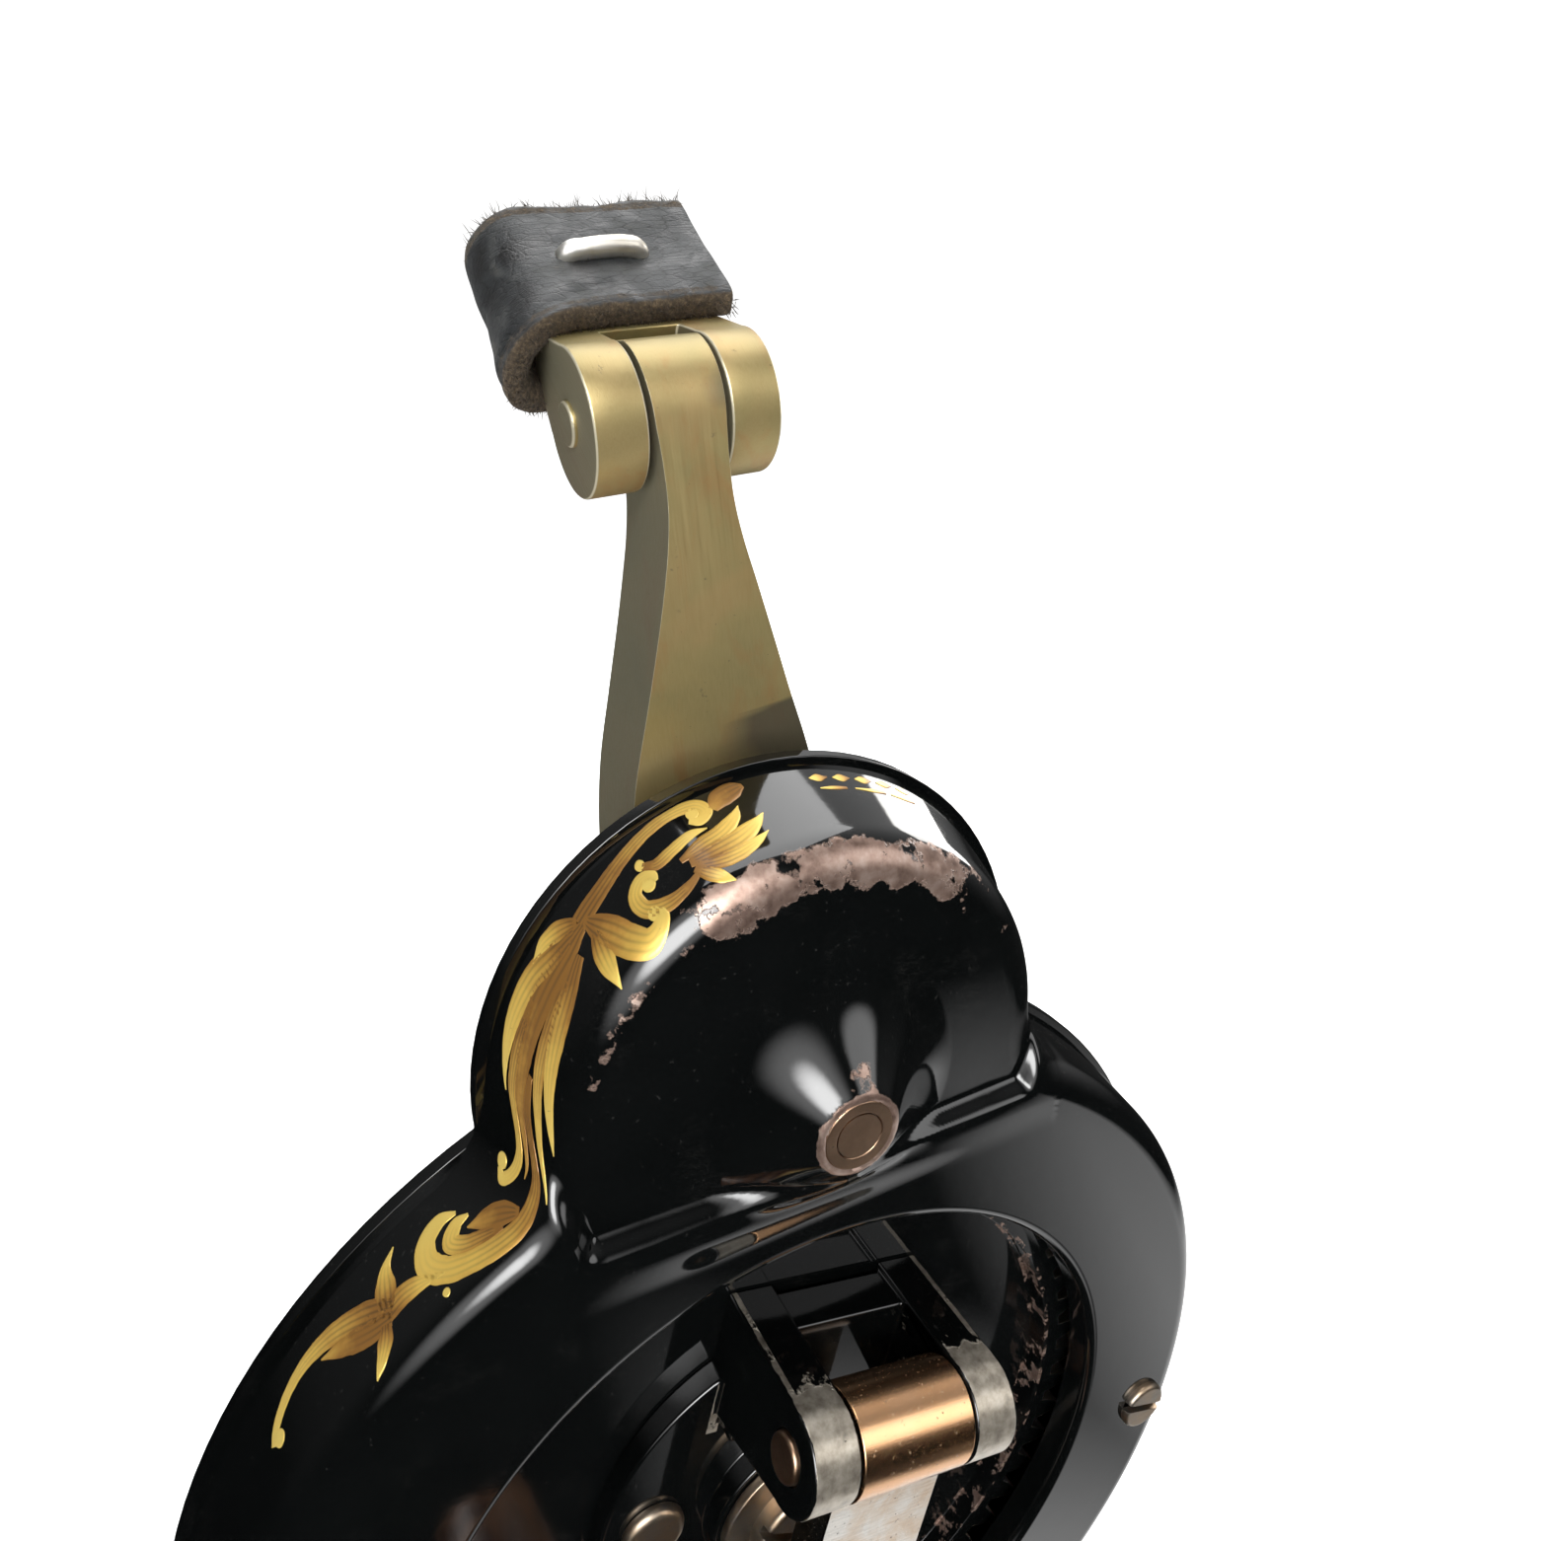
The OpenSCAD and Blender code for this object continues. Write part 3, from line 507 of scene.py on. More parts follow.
def mesh_from(name, points, faces, sharp=None):
    """A mesh of points given in millimetres."""
    mesh = bpy.data.meshes.new(name)
    mesh.from_pydata([tuple(float(v) * MM for v in point) for point in points], [], faces)
    mesh.validate()
    mesh.shade_smooth()
    if sharp is not None:
        mesh.set_sharp_from_angle(angle=math.radians(sharp))
    return mesh


def loop_faces(count, pairs, first=0):
    """The faces between pairs of closed loops of count points each."""
    return [(first + j * count + i, first + j * count + (i + 1) % count,
             first + k * count + (i + 1) % count, first + k * count + i)
            for j, k in pairs for i in range(count)]


def in_a_row(loops):
    return [(j, j + 1) for j in range(loops - 1)]


def float_layer(mesh, name, values):
    layer = mesh.attributes.new(name, "FLOAT", "POINT")
    layer.data.foreach_set("value", np.asarray(values, dtype=np.float32))


def modified(mesh, *modifiers):
    """The mesh after the given modifiers, each a (type, settings) pair."""
    carrier = bpy.data.objects.new("carrier", mesh)
    bpy.context.scene.collection.objects.link(carrier)
    for kind, settings in modifiers:
        made = carrier.modifiers.new(kind.lower(), kind)
        for key, value in settings.items():
            setattr(made, key, value)
    evaluated = carrier.evaluated_get(bpy.context.evaluated_depsgraph_get())
    result = bpy.data.meshes.new_from_object(evaluated)
    bpy.data.objects.remove(carrier)
    return result


def bevel_of(width, segments=3, angle=30):
    return ("BEVEL", {"width": width * MM, "segments": segments, "limit_method": "ANGLE",
                      "angle_limit": math.radians(angle), "use_clamp_overlap": True})


def smoothed(mesh):
    """Smooth shading in which each large face stays flat up to its rounded edges."""
    mesh.shade_smooth()
    mesh.set_sharp_from_angle(angle=math.radians(50))
    return modified(mesh, ("WEIGHTED_NORMAL", {"keep_sharp": True, "weight": 100}))


def clean(mesh, flat_angle=1.0):
    """Welds a CAD mesh and joins its coplanar triangles, so that its edges can be bevelled."""
    work = bmesh.new()
    work.from_mesh(mesh)
    bmesh.ops.remove_doubles(work, verts=work.verts, dist=1e-6)
    bmesh.ops.dissolve_limit(work, angle_limit=math.radians(flat_angle), verts=work.verts, edges=work.edges)
    work.to_mesh(mesh)
    work.free()
    return mesh


def dress(node, bevel=0.2, place=None, material=None, segments=2):
    """A finished copy of a CAD node with its edges rounded, in the given local frame."""
    mesh = clean(frame["nodes"][node].data.copy())
    if place is not None:
        mesh.transform(place.inverted())
    mesh = smoothed(modified(mesh, bevel_of(bevel, segments)))
    return new_piece(node + "_finish", mesh, material or MATERIALS[SLOT_OF[node]], node=node, place=place)


def smooth_step(low, high, value):
    t = np.clip((value - low) / (high - low), 0, 1)
    return t * t * (3 - 2 * t)


# ---- Housing ----


def outline_distance(x, z, r_disc, r_dome):
    """Signed distance to the blended outline of the disc and the dome."""
    to_disc = np.hypot(x, z) - r_disc
    to_dome = np.hypot(x, z - CENTRE_DISTANCE) - r_dome
    blend = np.maximum(FILLET - np.abs(to_disc - to_dome), 0) / FILLET
    return np.minimum(to_disc, to_dome) - blend * blend * FILLET / 4


def outline_radius(angles, y, inset):
    """Distance from the crank axis to the outline at depth y, moved inwards by inset, along each angle."""
    share = np.clip(y / SHELL_DEPTH, 0, 1)
    r_disc = DISC_R + (DISC_BACK_R - DISC_R) * share
    r_dome = DOME_R + (DOME_BACK_R - DOME_R) * share
    low = np.full(angles.shape, 20.0)
    high = np.full(angles.shape, 95.0)
    for _ in range(40):
        middle = (low + high) / 2
        outside = outline_distance(middle * np.sin(angles), middle * np.cos(angles), r_disc, r_dome) > -inset
        high = np.where(outside, middle, high)
        low = np.where(outside, low, middle)
    return (low + high) / 2


def face_depth(x, z):
    """Depth of the front face: the ring, the set-back dome face and the boss on it."""
    line = JUNCTION_Z + JUNCTION_SLOPE * x
    from_pinion = np.hypot(x, z - CENTRE_DISTANCE)
    on_dome = smooth_step(line - 0.3, line + 1.3, z) * smooth_step(DOME_R + 1.2, DOME_R - 0.6, from_pinion)
    crown = 0.45 * smooth_step(DOME_R, 0, from_pinion)
    ring_crown = 0.35 * smooth_step(3.2, 0, np.abs(z - line + 1.6)) * (np.abs(x) < DOME_R + 3)
    face = on_dome * (DOME_SET_BACK - crown) - (1 - on_dome) * ring_crown * smooth_step(30, 10, np.abs(x))
    rise = np.clip((from_pinion - 3.4) / 8.6, 0, 1)
    height = (DOME_SET_BACK - crown - BOSS_TIP_Y) * (1 - rise) ** 1.7
    boss = height * smooth_step(line - 1.8, line + 1.0, z)
    depth = np.minimum(face, face - boss)
    tip = smooth_step(3.0, 2.7, from_pinion)
    return np.maximum(depth, BOSS_TIP_Y) + tip * 0.5


def even_angles(count):
    """Angles that are evenly spaced along the outline, starting at the bottom."""
    fine = np.linspace(-math.pi, math.pi, 8001)
    radius = outline_radius(fine, 6.0, 0)
    x, z = radius * np.sin(fine), radius * np.cos(fine)
    length = np.concatenate([[0], np.cumsum(np.hypot(np.diff(x), np.diff(z)))])
    return np.interp(np.arange(count) * length[-1] / count, length, fine), length[-1]


def housing_rows(angles):
    """Rows of points from the back edge of the band, over the face, and back inside."""
    sine, cosine = np.sin(angles), np.cos(angles)

    def row(radius, y):
        return np.stack([radius * sine, np.broadcast_to(y, radius.shape), radius * cosine], axis=1)

    rim = outline_radius(angles, 0, EDGE_R)
    base = face_depth(rim * sine, rim * cosine)
    rows = []
    for share in np.linspace(1, 0, 15):
        y = base + EDGE_R + (SHELL_DEPTH - base - EDGE_R) * share
        rows.append(row(outline_radius(angles, y, 0), y))
    for turn in np.linspace(0, math.pi / 2, 9)[1:]:
        y = base + EDGE_R * (1 - math.sin(turn))
        rows.append(row(outline_radius(angles, y, EDGE_R * (1 - math.cos(turn))), y))
    edge_end = len(rows)
    inner = OPENING_R + LIP_R
    for share in np.linspace(0, 1, 92)[1:]:
        radius = rim + (inner - rim) * share
        rows.append(row(radius, face_depth(radius * sine, radius * cosine)))
    ones = np.ones_like(angles)
    for turn in np.linspace(0, math.pi / 2, 7)[1:]:
        y = LIP_R * (1 - math.cos(turn))
        rows.append(row(ones * (inner - LIP_R * math.sin(turn)), y * ones))
    rows.append(row(ones * OPENING_R, RING_WALL * ones))
    in_dome = smooth_step(JUNCTION_Z - 2, JUNCTION_Z + 2, outline_radius(angles, 6, 0) * cosine - 8)
    for share in (0.5, 1.0):
        wall = outline_radius(angles, 4.0, WALL)
        rows.append(row(OPENING_R + (wall - OPENING_R) * share, RING_WALL + in_dome * share))
    for y in (7.0, SHELL_DEPTH):
        rows.append(row(outline_radius(angles, y, WALL), y * ones))
    return np.array(rows), edge_end


def wear_field(points):
    """How worn the varnish is: bare along the dome's front edge, chipped down its left, rubbed at the boss."""
    x, y, z = points[:, 0], points[:, 1], points[:, 2]
    turn = np.degrees(np.arctan2(x, z - CENTRE_DISTANCE))
    from_pinion = np.hypot(x, z - CENTRE_DISTANCE)
    edge_r = DOME_R + (DOME_BACK_R - DOME_R) * np.clip(y / SHELL_DEPTH, 0, 1)
    on_edge = np.hypot(y - 1.9, from_pinion - DOME_R + 0.5)
    wear = np.zeros_like(x)
    # The top, the left and the right of the dome's front edge, by turn from its top in degrees
    for (rise, full), (still, over), amount, reach, core in (((-42, -26), (58, 30), 0.62, 3.7, 1.1),
                                                             ((-96, -60), (-26, -38), 0.50, 1.3, 0.3),
                                                             ((28, 44), (80, 55), 0.36, 3.4, 0.8)):
        along = smooth_step(rise, full, turn) * smooth_step(still, over, turn)
        wear = np.maximum(wear, amount * along * smooth_step(reach, core, on_edge))
    on_face = y < 0.5
    above = np.hypot(x - 0.4, z - CENTRE_DISTANCE - 4.2)
    wear = np.maximum(wear, 0.56 * smooth_step(2.6, 0.7, above) * on_face)
    wear = np.maximum(wear, 0.9 * smooth_step(4.2, 3.1, from_pinion) * on_face)
    ring_edge = np.abs(np.hypot(x, z) - DISC_R) < 1.2
    wear = np.maximum(wear, 0.16 * ring_edge * (y < 2.5))
    outer = np.abs(y - SHELL_DEPTH) < 0.8
    return np.maximum(wear, 0.2 * outer * (from_pinion > edge_r - 2))


def housing():
    """The cast shell; returns the rows of points of its side band, and the band's length."""
    count = 880
    angles, length = even_angles(count)
    rows, edge_end = housing_rows(angles)
    points = rows.reshape(-1, 3)
    faces = loop_faces(count, in_a_row(len(rows)) + [(len(rows) - 1, 0)])
    mesh = mesh_from("gear_housing_shell", points, faces, sharp=55)
    float_layer(mesh, "wear", wear_field(points))
    new_piece("gear_housing_shell", mesh, HOUSING_JAPAN, node="gear_housing", place=Matrix.Translation(AXIS))
    return rows[:edge_end], length


band_rows, band_length = housing()

# ---- Gold scroll on the side band ----
# A place on the band is (s, w): millimetres along it from the dome's top, to the left, and across it from
# the front.

BAND_FLAT_ROWS = 14
BAND_EDGE_ROWS = len(band_rows) - 1 - BAND_FLAT_ROWS
BAND_STEPS = band_rows.shape[1]


def on_band(s, w):
    """The point of the band at (s, w), in the housing's frame."""
    i = BAND_STEPS / 2 - s * BAND_STEPS / band_length
    i0 = int(math.floor(i))
    column = band_rows[:, i0 % BAND_STEPS] * (i0 + 1 - i) + band_rows[:, (i0 + 1) % BAND_STEPS] * (i - i0)
    if w >= 0:
        width = column[0][1] - column[BAND_FLAT_ROWS][1]
        j = BAND_FLAT_ROWS * (1 - min(w / width, 0.98))
    else:
        j = BAND_FLAT_ROWS + BAND_EDGE_ROWS * min(-w / EDGE_R / (math.pi / 2), 0.9)
    j0 = int(j)
    return Vector(column[j0] * (j0 + 1 - j) + column[j0 + 1] * (j - j0))


def on_band_raised(s, w, lift):
    """The point of the band at (s, w), moved outwards."""
    point = on_band(s, w)
    normal = (on_band(s + 0.4, w) - point).cross(on_band(s, w + 0.3) - point).normalized()
    outwards = Vector((point.x, 0, point.z - (CENTRE_DISTANCE if point.z > JUNCTION_Z else 0)))
    return point + normal * (lift if normal.dot(outwards) > 0 else -lift)


def curve_through(points, steps):
    """Points, each with any number of values, along a smooth curve through the given ones."""
    points = np.array(points, float)
    padded = np.vstack([2 * points[0] - points[1], points, 2 * points[-1] - points[-2]])
    result = []
    for k in range(len(points) - 1):
        a, b, c, d = padded[k:k + 4]
        for t in np.arange(steps) / steps:
            result.append(0.5 * (2 * b + (c - a) * t + (2 * a - 5 * b + 4 * c - d) * t**2
                                 + (3 * b - a - 3 * c + d) * t**3))
    return np.array(result + [points[-1]])


GOLD_BREADTH = 1.18


def gold_strip(store, line, shade=(0.9, 0.1), veins=True, steps=7):
    """One brush stroke of gold: a smooth line of (s, w, half-width), closed on all sides."""
    path = curve_through(line, steps)
    across = np.linspace(-1, 1, 13)
    verts, faces, shades, lines = store
    base = len(verts)
    loop = 2 * len(across)
    ahead = np.gradient(path[:, :2], axis=0)
    ahead /= np.maximum(np.linalg.norm(ahead, axis=1, keepdims=True), 1e-6)
    for n, ((s, w, half), (ds, dw)) in enumerate(zip(path, ahead)):
        share = n / (len(path) - 1)
        half = max(half * GOLD_BREADTH, 0.03)
        wobble = 0.07 * noise.noise(Vector((s, w, 3.0)) * 1.6)
        for side, lifts in ((across, 0.05), (across[::-1], -0.2)):
            for t in side:
                reach = t * (half + wobble * min(half, 1))
                lift = lifts if abs(t) < 1 or lifts < 0 else 0.015
                verts.append(on_band_raised(s - dw * reach, w + ds * reach, lift))
                shades.append(shade[0] + (shade[1] - shade[0]) * share + 0.12 * t * t)
                on_line = abs(abs(t) - 0.5) < 0.01 or abs(t) < 0.01
                lines.append(float(veins and on_line and half > 0.45) * max(1 - share * 1.25, 0))
    faces += loop_faces(loop, in_a_row(len(path)), base)
    faces.append(tuple(range(base + loop - 1, base - 1, -1)))
    faces.append(tuple(range(len(verts) - loop, len(verts))))


def gold_dot(store, s, w, r, shade=0.1):
    turns = np.linspace(-math.pi / 2, math.pi / 2, 9)
    line = [(s + r * math.sin(turn), w, max(r * math.cos(turn), 0.03)) for turn in turns]
    gold_strip(store, line, (shade, shade), veins=False, steps=2)


# Strokes as (s, w, half-width) places: curls, leaves that fan out from a root, and long tails.
GOLD_BRIGHT = [
    [(19.5, 4.6, .7), (17, 5.1, .62), (14.5, 5.8, .5), (12, 6.4, .42), (9.8, 6.6, .42), (7.9, 6.3, .48),
     (7.3, 5.4, .45), (8.0, 4.8, .38), (8.8, 5.2, .2)],
    [(10.8, 2.6, .2), (9.0, 2.8, .55), (7.2, 3.0, .6), (5.8, 3.7, .45), (5.0, 4.6, .03)],
    [(10.3, 2.0, .3), (8.2, 1.8, .7), (6.2, 1.9, .75), (4.6, 2.5, .45), (3.6, 3.2, .03)],
    [(10.0, 1.5, .3), (8.4, 0.9, .55), (6.8, 0.7, .55), (5.2, 1.0, .35), (4.0, 1.5, .03)],
    [(10.2, 1.4, .25), (9.5, 0.5, .5), (8.8, -0.3, .4), (8.0, -1.0, .03)],
    [(13.4, 4.2, .25), (12.4, 3.6, .4), (10.9, 3.8, .42), (9.2, 4.1, .34), (7.9, 3.9, .03)],
    [(9.6, 1.2, .1), (11.2, 0.5, .35), (13.0, 0.4, .5), (14.6, 1.2, .55), (14.9, 2.6, .5), (14.0, 3.4, .42),
     (13.1, 3.1, .35), (13.0, 2.5, .15)],
    [(19.0, 4.4, .3), (18.3, 3.1, .8), (17.5, 1.7, 1.0), (16.7, 0.3, .95), (15.6, -0.7, .75), (14.5, -0.6, .6),
     (13.8, 0.1, .45), (14.1, 0.8, .1)],
    [(18.7, 3.0, .4), (18.9, 1.6, .75), (19.0, 0.2, .6), (18.9, -1.3, .03)],
    [(19.6, 4.8, .3), (21.2, 5.6, .65), (22.8, 6.1, .5), (24.4, 6.0, .03)],
    [(20.2, 4.4, .4), (22.6, 4.8, .85), (25, 5.4, .85), (28, 5.6, .7), (31, 5.4, .42), (33.8, 4.8, .03)],
    [(20.6, 2.9, .4), (23, 1.9, .75), (25.6, 1.2, .8), (28.2, 0.5, .6), (30.6, -0.3, .35), (32.4, -1.0, .03)],
    [(22.0, 2.6, .3), (25.5, 2.1, .5), (29, 1.6, .5), (32, 0.8, .38), (34.6, 0.0, .25), (36.2, -0.6, .03)],
    [(26, 4.4, .2), (29, 4.3, .5), (32, 4.1, .45), (35, 3.7, .4), (37.4, 3.4, .4), (38.8, 4.0, .38),
     (38.6, 4.9, .15)],
    [(30.0, 2.3, .2), (33.0, 2.0, .4), (36, 1.0, .5), (38.6, 0.2, .62), (41.0, 0.2, .72), (43.4, 0.7, .8),
     (45.4, 1.7, .85), (46.4, 3.2, .85), (46.0, 4.8, .72), (44.6, 5.5, .55), (43.2, 5.1, .15)],
    [(40.4, 1.2, .2), (42.0, 1.7, .5), (43.5, 2.3, .6), (44.3, 3.3, .6), (43.5, 4.2, .5), (42.4, 4.2, .12)],
    [(50.5, 2.5, .7), (48.8, 2.7, .75), (47.0, 2.2, .45), (45.2, 1.4, .03)],
    [(50.3, 3.0, .8), (50.0, 4.4, .8), (49.5, 5.8, .4), (48.4, 6.8, .03)],
    [(49.8, 2.6, .6), (51.6, 3.7, .85), (53.8, 4.8, .8), (56, 5.5, .65), (58.4, 5.7, .5), (60.6, 5.2, .42),
     (62.2, 4.2, .38), (62.9, 3.2, .25)],
    [(50.8, 1.9, .4), (51.2, 0.9, .6), (51.9, -0.1, .4), (52.8, -0.9, .03)],
]
GOLD_BROWN = [
    [(19.4, 4.2, .4), (21.5, 4.0, .9), (24.5, 3.9, 1.0), (28, 3.7, .9), (31.5, 3.2, .6), (35, 2.6, .3),
     (37, 2.2, .03)],
    [(38.8, 1.0, .3), (40.0, 2.0, .75), (41.4, 2.8, .7), (42.8, 3.3, .05)],
    [(50.2, 2.0, .5), (52.0, 2.5, .8), (54.2, 3.5, .7), (56.6, 4.5, .05)],
    [(3.8, 6.3, .2), (4.6, 6.2, .7), (5.8, 5.9, .8), (6.8, 5.2, .35)],
]
# A plain border of lozenges over a broken line, on the dome's other side
GOLD_BRIGHT += [[(s - 0.8, 5.7, .03), (s, 5.7, .36), (s + 0.8, 5.7, .03)]
                for s in (-2.4, -4.5, -6.6, -8.7, -10.8)]
GOLD_BRIGHT += [[(s, 4.5, .12), (s + 1.2, 4.5, .16), (s + length, 4.5, .05)]
                for s, length in ((-11.4, 2.6), (-8.2, 3.0), (-4.4, 2.4))]
GOLD_DOTS = [(8.3, 5.7, .5), (13.6, 2.7, .55), (38.1, 4.9, .5), (62.1, 3.2, .55), (45.8, 0.1, .3),
             (14.3, 0.6, .5), (13.5, 4.4, .4)]


def gold_scroll():
    store = ([], [], [], [])
    for line in GOLD_BRIGHT:
        gold_strip(store, line)
    for line in GOLD_BROWN:
        gold_strip(store, line, (1.0, 0.62))
    for s, w, r in GOLD_DOTS:
        gold_dot(store, s, w, r)
    verts, faces, shades, lines = store
    mesh = mesh_from("gold_scroll", verts, faces, sharp=60)
    float_layer(mesh, "shade", shades)
    float_layer(mesh, "vein", lines)
    new_piece("gold_scroll", mesh, GOLD, body=BODY_OF["gear_housing"],
              place=Matrix.Translation(AXIS))


gold_scroll()

# ---- Driver arm and finger ----

PIN_R = 51.0
LUG_R = 5.2
HUB_R = 9.5
TONGUE_BACK = 3.5
# (distance from the pinion axis, half-width) and (distance, depth from the hinge pin) of the driver arm
DRIVER_WIDTHS = ((0, 9.5), (10, 9.4), (18, 8.7), (24, 7.6), (30, 6.0), (35, 4.7), (39, 3.7), (42, 3.0),
                 (45, 2.55), (48, 2.5), (51, 2.65), (57, 2.8))
DRIVER_FRONT = ((-10, -3.5), (12, -3.5), (24, -3.5), (28, -3.9), (33.5, -4.6), (39, -5.1), (43, -5.2),
                (52, -5.2))
DRIVER_BACK = ((-10, 5.0), (12, 5.0), (24, 5.0), (30, 4.6), (36, 4.0), (44.4, 3.5), (57, 3.5))


def lofted(name, loops, sharp=40):
    """A closed mesh through loops of points, each loop with the same number of points."""
    count = len(loops[0])
    points = [point for loop in loops for point in loop]
    caps = [tuple(range(count - 1, -1, -1)), tuple(range(len(points) - count, len(points)))]
    return mesh_from(name, points, caps + loop_faces(count, in_a_row(len(loops))), sharp=sharp)


def smooth_profile(pairs, place):
    """The value at a place on a smooth curve through (place, value) pairs."""
    places, values = np.array(pairs, float).T
    slopes = np.gradient(values, places)
    k = int(np.clip(np.searchsorted(places, place) - 1, 0, len(places) - 2))
    step = places[k + 1] - places[k]
    t = (place - places[k]) / step
    return float((2 * t**3 - 3 * t**2 + 1) * values[k] + (t**3 - 2 * t**2 + t) * step * slopes[k]
                 + (3 * t**2 - 2 * t**3) * values[k + 1] + (t**3 - t**2) * step * slopes[k + 1])


def driver_arm():
    """Flat forging: a round hub, a waisted arm that leans forward, and a tongue rounded about the hinge pin."""
    hub = [-(HUB_R - 0.02) * math.cos(turn) for turn in np.linspace(0, math.pi / 2, 20)]
    shaft = list(np.linspace(0.5, PIN_R, 90))
    tip = [PIN_R + LUG_R * math.sin(turn) for turn in np.linspace(0, math.radians(75), 16)[1:]]
    loops = []
    for z in hub + shaft + tip:
        half_w = math.sqrt(HUB_R**2 - z * z) if z < 0 else smooth_profile(DRIVER_WIDTHS, z)
        front = smooth_profile(DRIVER_FRONT, z)
        back = smooth_profile(DRIVER_BACK, z)
        if z > PIN_R:
            front = -math.sqrt(LUG_R**2 - (z - PIN_R)**2)
            back = min(back, TONGUE_BACK - 0.85 * max(z - PIN_R - 2.5, 0))
        loops.append([(half_w, front, z), (half_w, back, z), (-half_w, back, z), (-half_w, front, z)])
    mesh = smoothed(modified(lofted("driver_arm", loops), bevel_of(0.22, 3, 50)))
    z = np.array([v.co.z for v in mesh.vertices]) / MM
    x = np.array([v.co.x for v in mesh.vertices]) / MM
    # Painted shade with some staining: darker at the lower right corner, where the arm comes out above the
    # dome, and in a spot on the tongue at the hinge, between the fork's lugs
    corner = smooth_step(27.0, 24.5, z - 0.8 * x + 2)
    tip_spot = smooth_step(3.2, 0.6, np.hypot(x - 1.6, (z - 52.5) * 0.8))
    float_layer(mesh, "stain_and_shade", np.maximum(corner, 0.72 * tip_spot))
    new_piece("driver_arm_forging", mesh, MATERIALS["patina_steel"], node="driver_arm", place=DRIVER)


def extruded_x(name, outline, half_width):
    """A closed solid: an outline in Y and Z between two places on X."""
    left = [(-half_width, y, z) for y, z in outline]
    right = [(half_width, y, z) for y, z in outline]
    return lofted(name, [left, right], sharp=30)


def difference(mesh, *cutters):
    """The mesh with the cutters' space taken out."""
    helpers = [bpy.data.objects.new("cutter", cutter) for cutter in cutters]
    for helper in helpers:
        bpy.context.scene.collection.objects.link(helper)
    cuts = [("BOOLEAN", {"operation": "DIFFERENCE", "solver": "EXACT", "object": helper})
            for helper in helpers]
    result = modified(mesh, *cuts)
    for helper in helpers:
        bpy.data.objects.remove(helper)
    return result


def box_mesh(low, high):
    (x0, y0, z0), (x1, y1, z1) = low, high
    corners = [[(x0, y0, z), (x1, y0, z), (x1, y1, z), (x0, y1, z)] for z in (z0, z1)]
    return lofted("box", corners)


LUG_INNER = 3.1
LUG_OUTER = 7.0
PLATE_HALF_T = 1.6
FINGER_LEN = 17.0
FINGER_HALF_W = 6.5
PLATE_START = 5.7
NECK_Z = 7.6
PAST = 9


def finger_fork():
    """Two round lugs that run into a flat plate; the slot between them takes the arm's tongue."""
    leave = math.radians(52)
    arc = [(LUG_R * math.sin(turn), LUG_R * math.cos(turn))
           for turn in np.linspace(leave, 2 * math.pi - leave, 56)]
    outline = arc + [(-PLATE_HALF_T, NECK_Z), (-PLATE_HALF_T, FINGER_LEN), (PLATE_HALF_T, FINGER_LEN),
                     (PLATE_HALF_T, NECK_Z)]
    solid = extruded_x("finger_fork", outline, LUG_OUTER)
    slot = box_mesh((-LUG_INNER, -PAST, -PAST), (LUG_INNER, PAST, PLATE_START))
    sides = [box_mesh((-PAST, -PAST, NECK_Z), (-FINGER_HALF_W, PAST, FINGER_LEN + PAST)),
             box_mesh((FINGER_HALF_W, -PAST, NECK_Z), (PAST, PAST, FINGER_LEN + PAST))]
    mesh = modified(clean(difference(solid, slot, *sides), 0.5), bevel_of(0.22, 3, 35))
    mesh.shade_smooth()
    mesh.set_sharp_from_angle(angle=math.radians(50))
    new_piece("finger_fork_forging", mesh, MATERIALS["patina_steel"], node="finger_fork", place=FINGER)


LEATHER_T = 2.4
LEATHER_LOW = 6.5
LEATHER_HIGH = 18.2
LEATHER_RIGHT = 7.9
FOLD_X_PLACE = -5.0


def leather_path(u):
    """Middle line of the wrapped strip in X and Y, and its outward normal, for u from 0 to 1."""
    offset = PLATE_HALF_T + LEATHER_T / 2 + 0.05
    straight = LEATHER_RIGHT - FOLD_X_PLACE
    turn_len = math.pi * offset
    run = u * (2 * straight + turn_len)
    if run < straight:
        return (LEATHER_RIGHT - run, -offset), (0, -1)
    if run < straight + turn_len:
        a = (run - straight) / offset
        return (FOLD_X_PLACE - offset * math.sin(a), -offset * math.cos(a)), (-math.sin(a), -math.cos(a))
    return (FOLD_X_PLACE + run - straight - turn_len, offset), (0, 1)


def leather_section():
    """Rounded outline of the strip's section: (place along the finger, offset, edge share) points."""
    low, high, half, corner = LEATHER_LOW, LEATHER_HIGH, LEATHER_T / 2, 0.75
    points = []
    for z in np.linspace(low + corner, high - corner, 34):
        points.append((z, half, max(0.5 * (z > high - 1.5), 0.42 * (z < low + 1.2))))
    corner_turns = np.linspace(0, math.pi / 2, 6)[1:-1]
    for turn in corner_turns:
        points.append((high - corner + corner * math.sin(turn), half - corner + corner * math.cos(turn),
                       math.sin(turn)))
    for n in np.linspace(half - corner, -half + corner, 4):
        points.append((high, n, 1.0))
    for z in np.linspace(high - corner, low + corner, 34):
        points.append((z, -half, 1.0))
    for n in np.linspace(-half + corner, half - corner, 4):
        points.append((low, n, 1.0))
    for turn in corner_turns[::-1]:
        points.append((low + corner - corner * math.sin(turn), half - corner + corner * math.cos(turn),
                       math.sin(turn)))
    return points


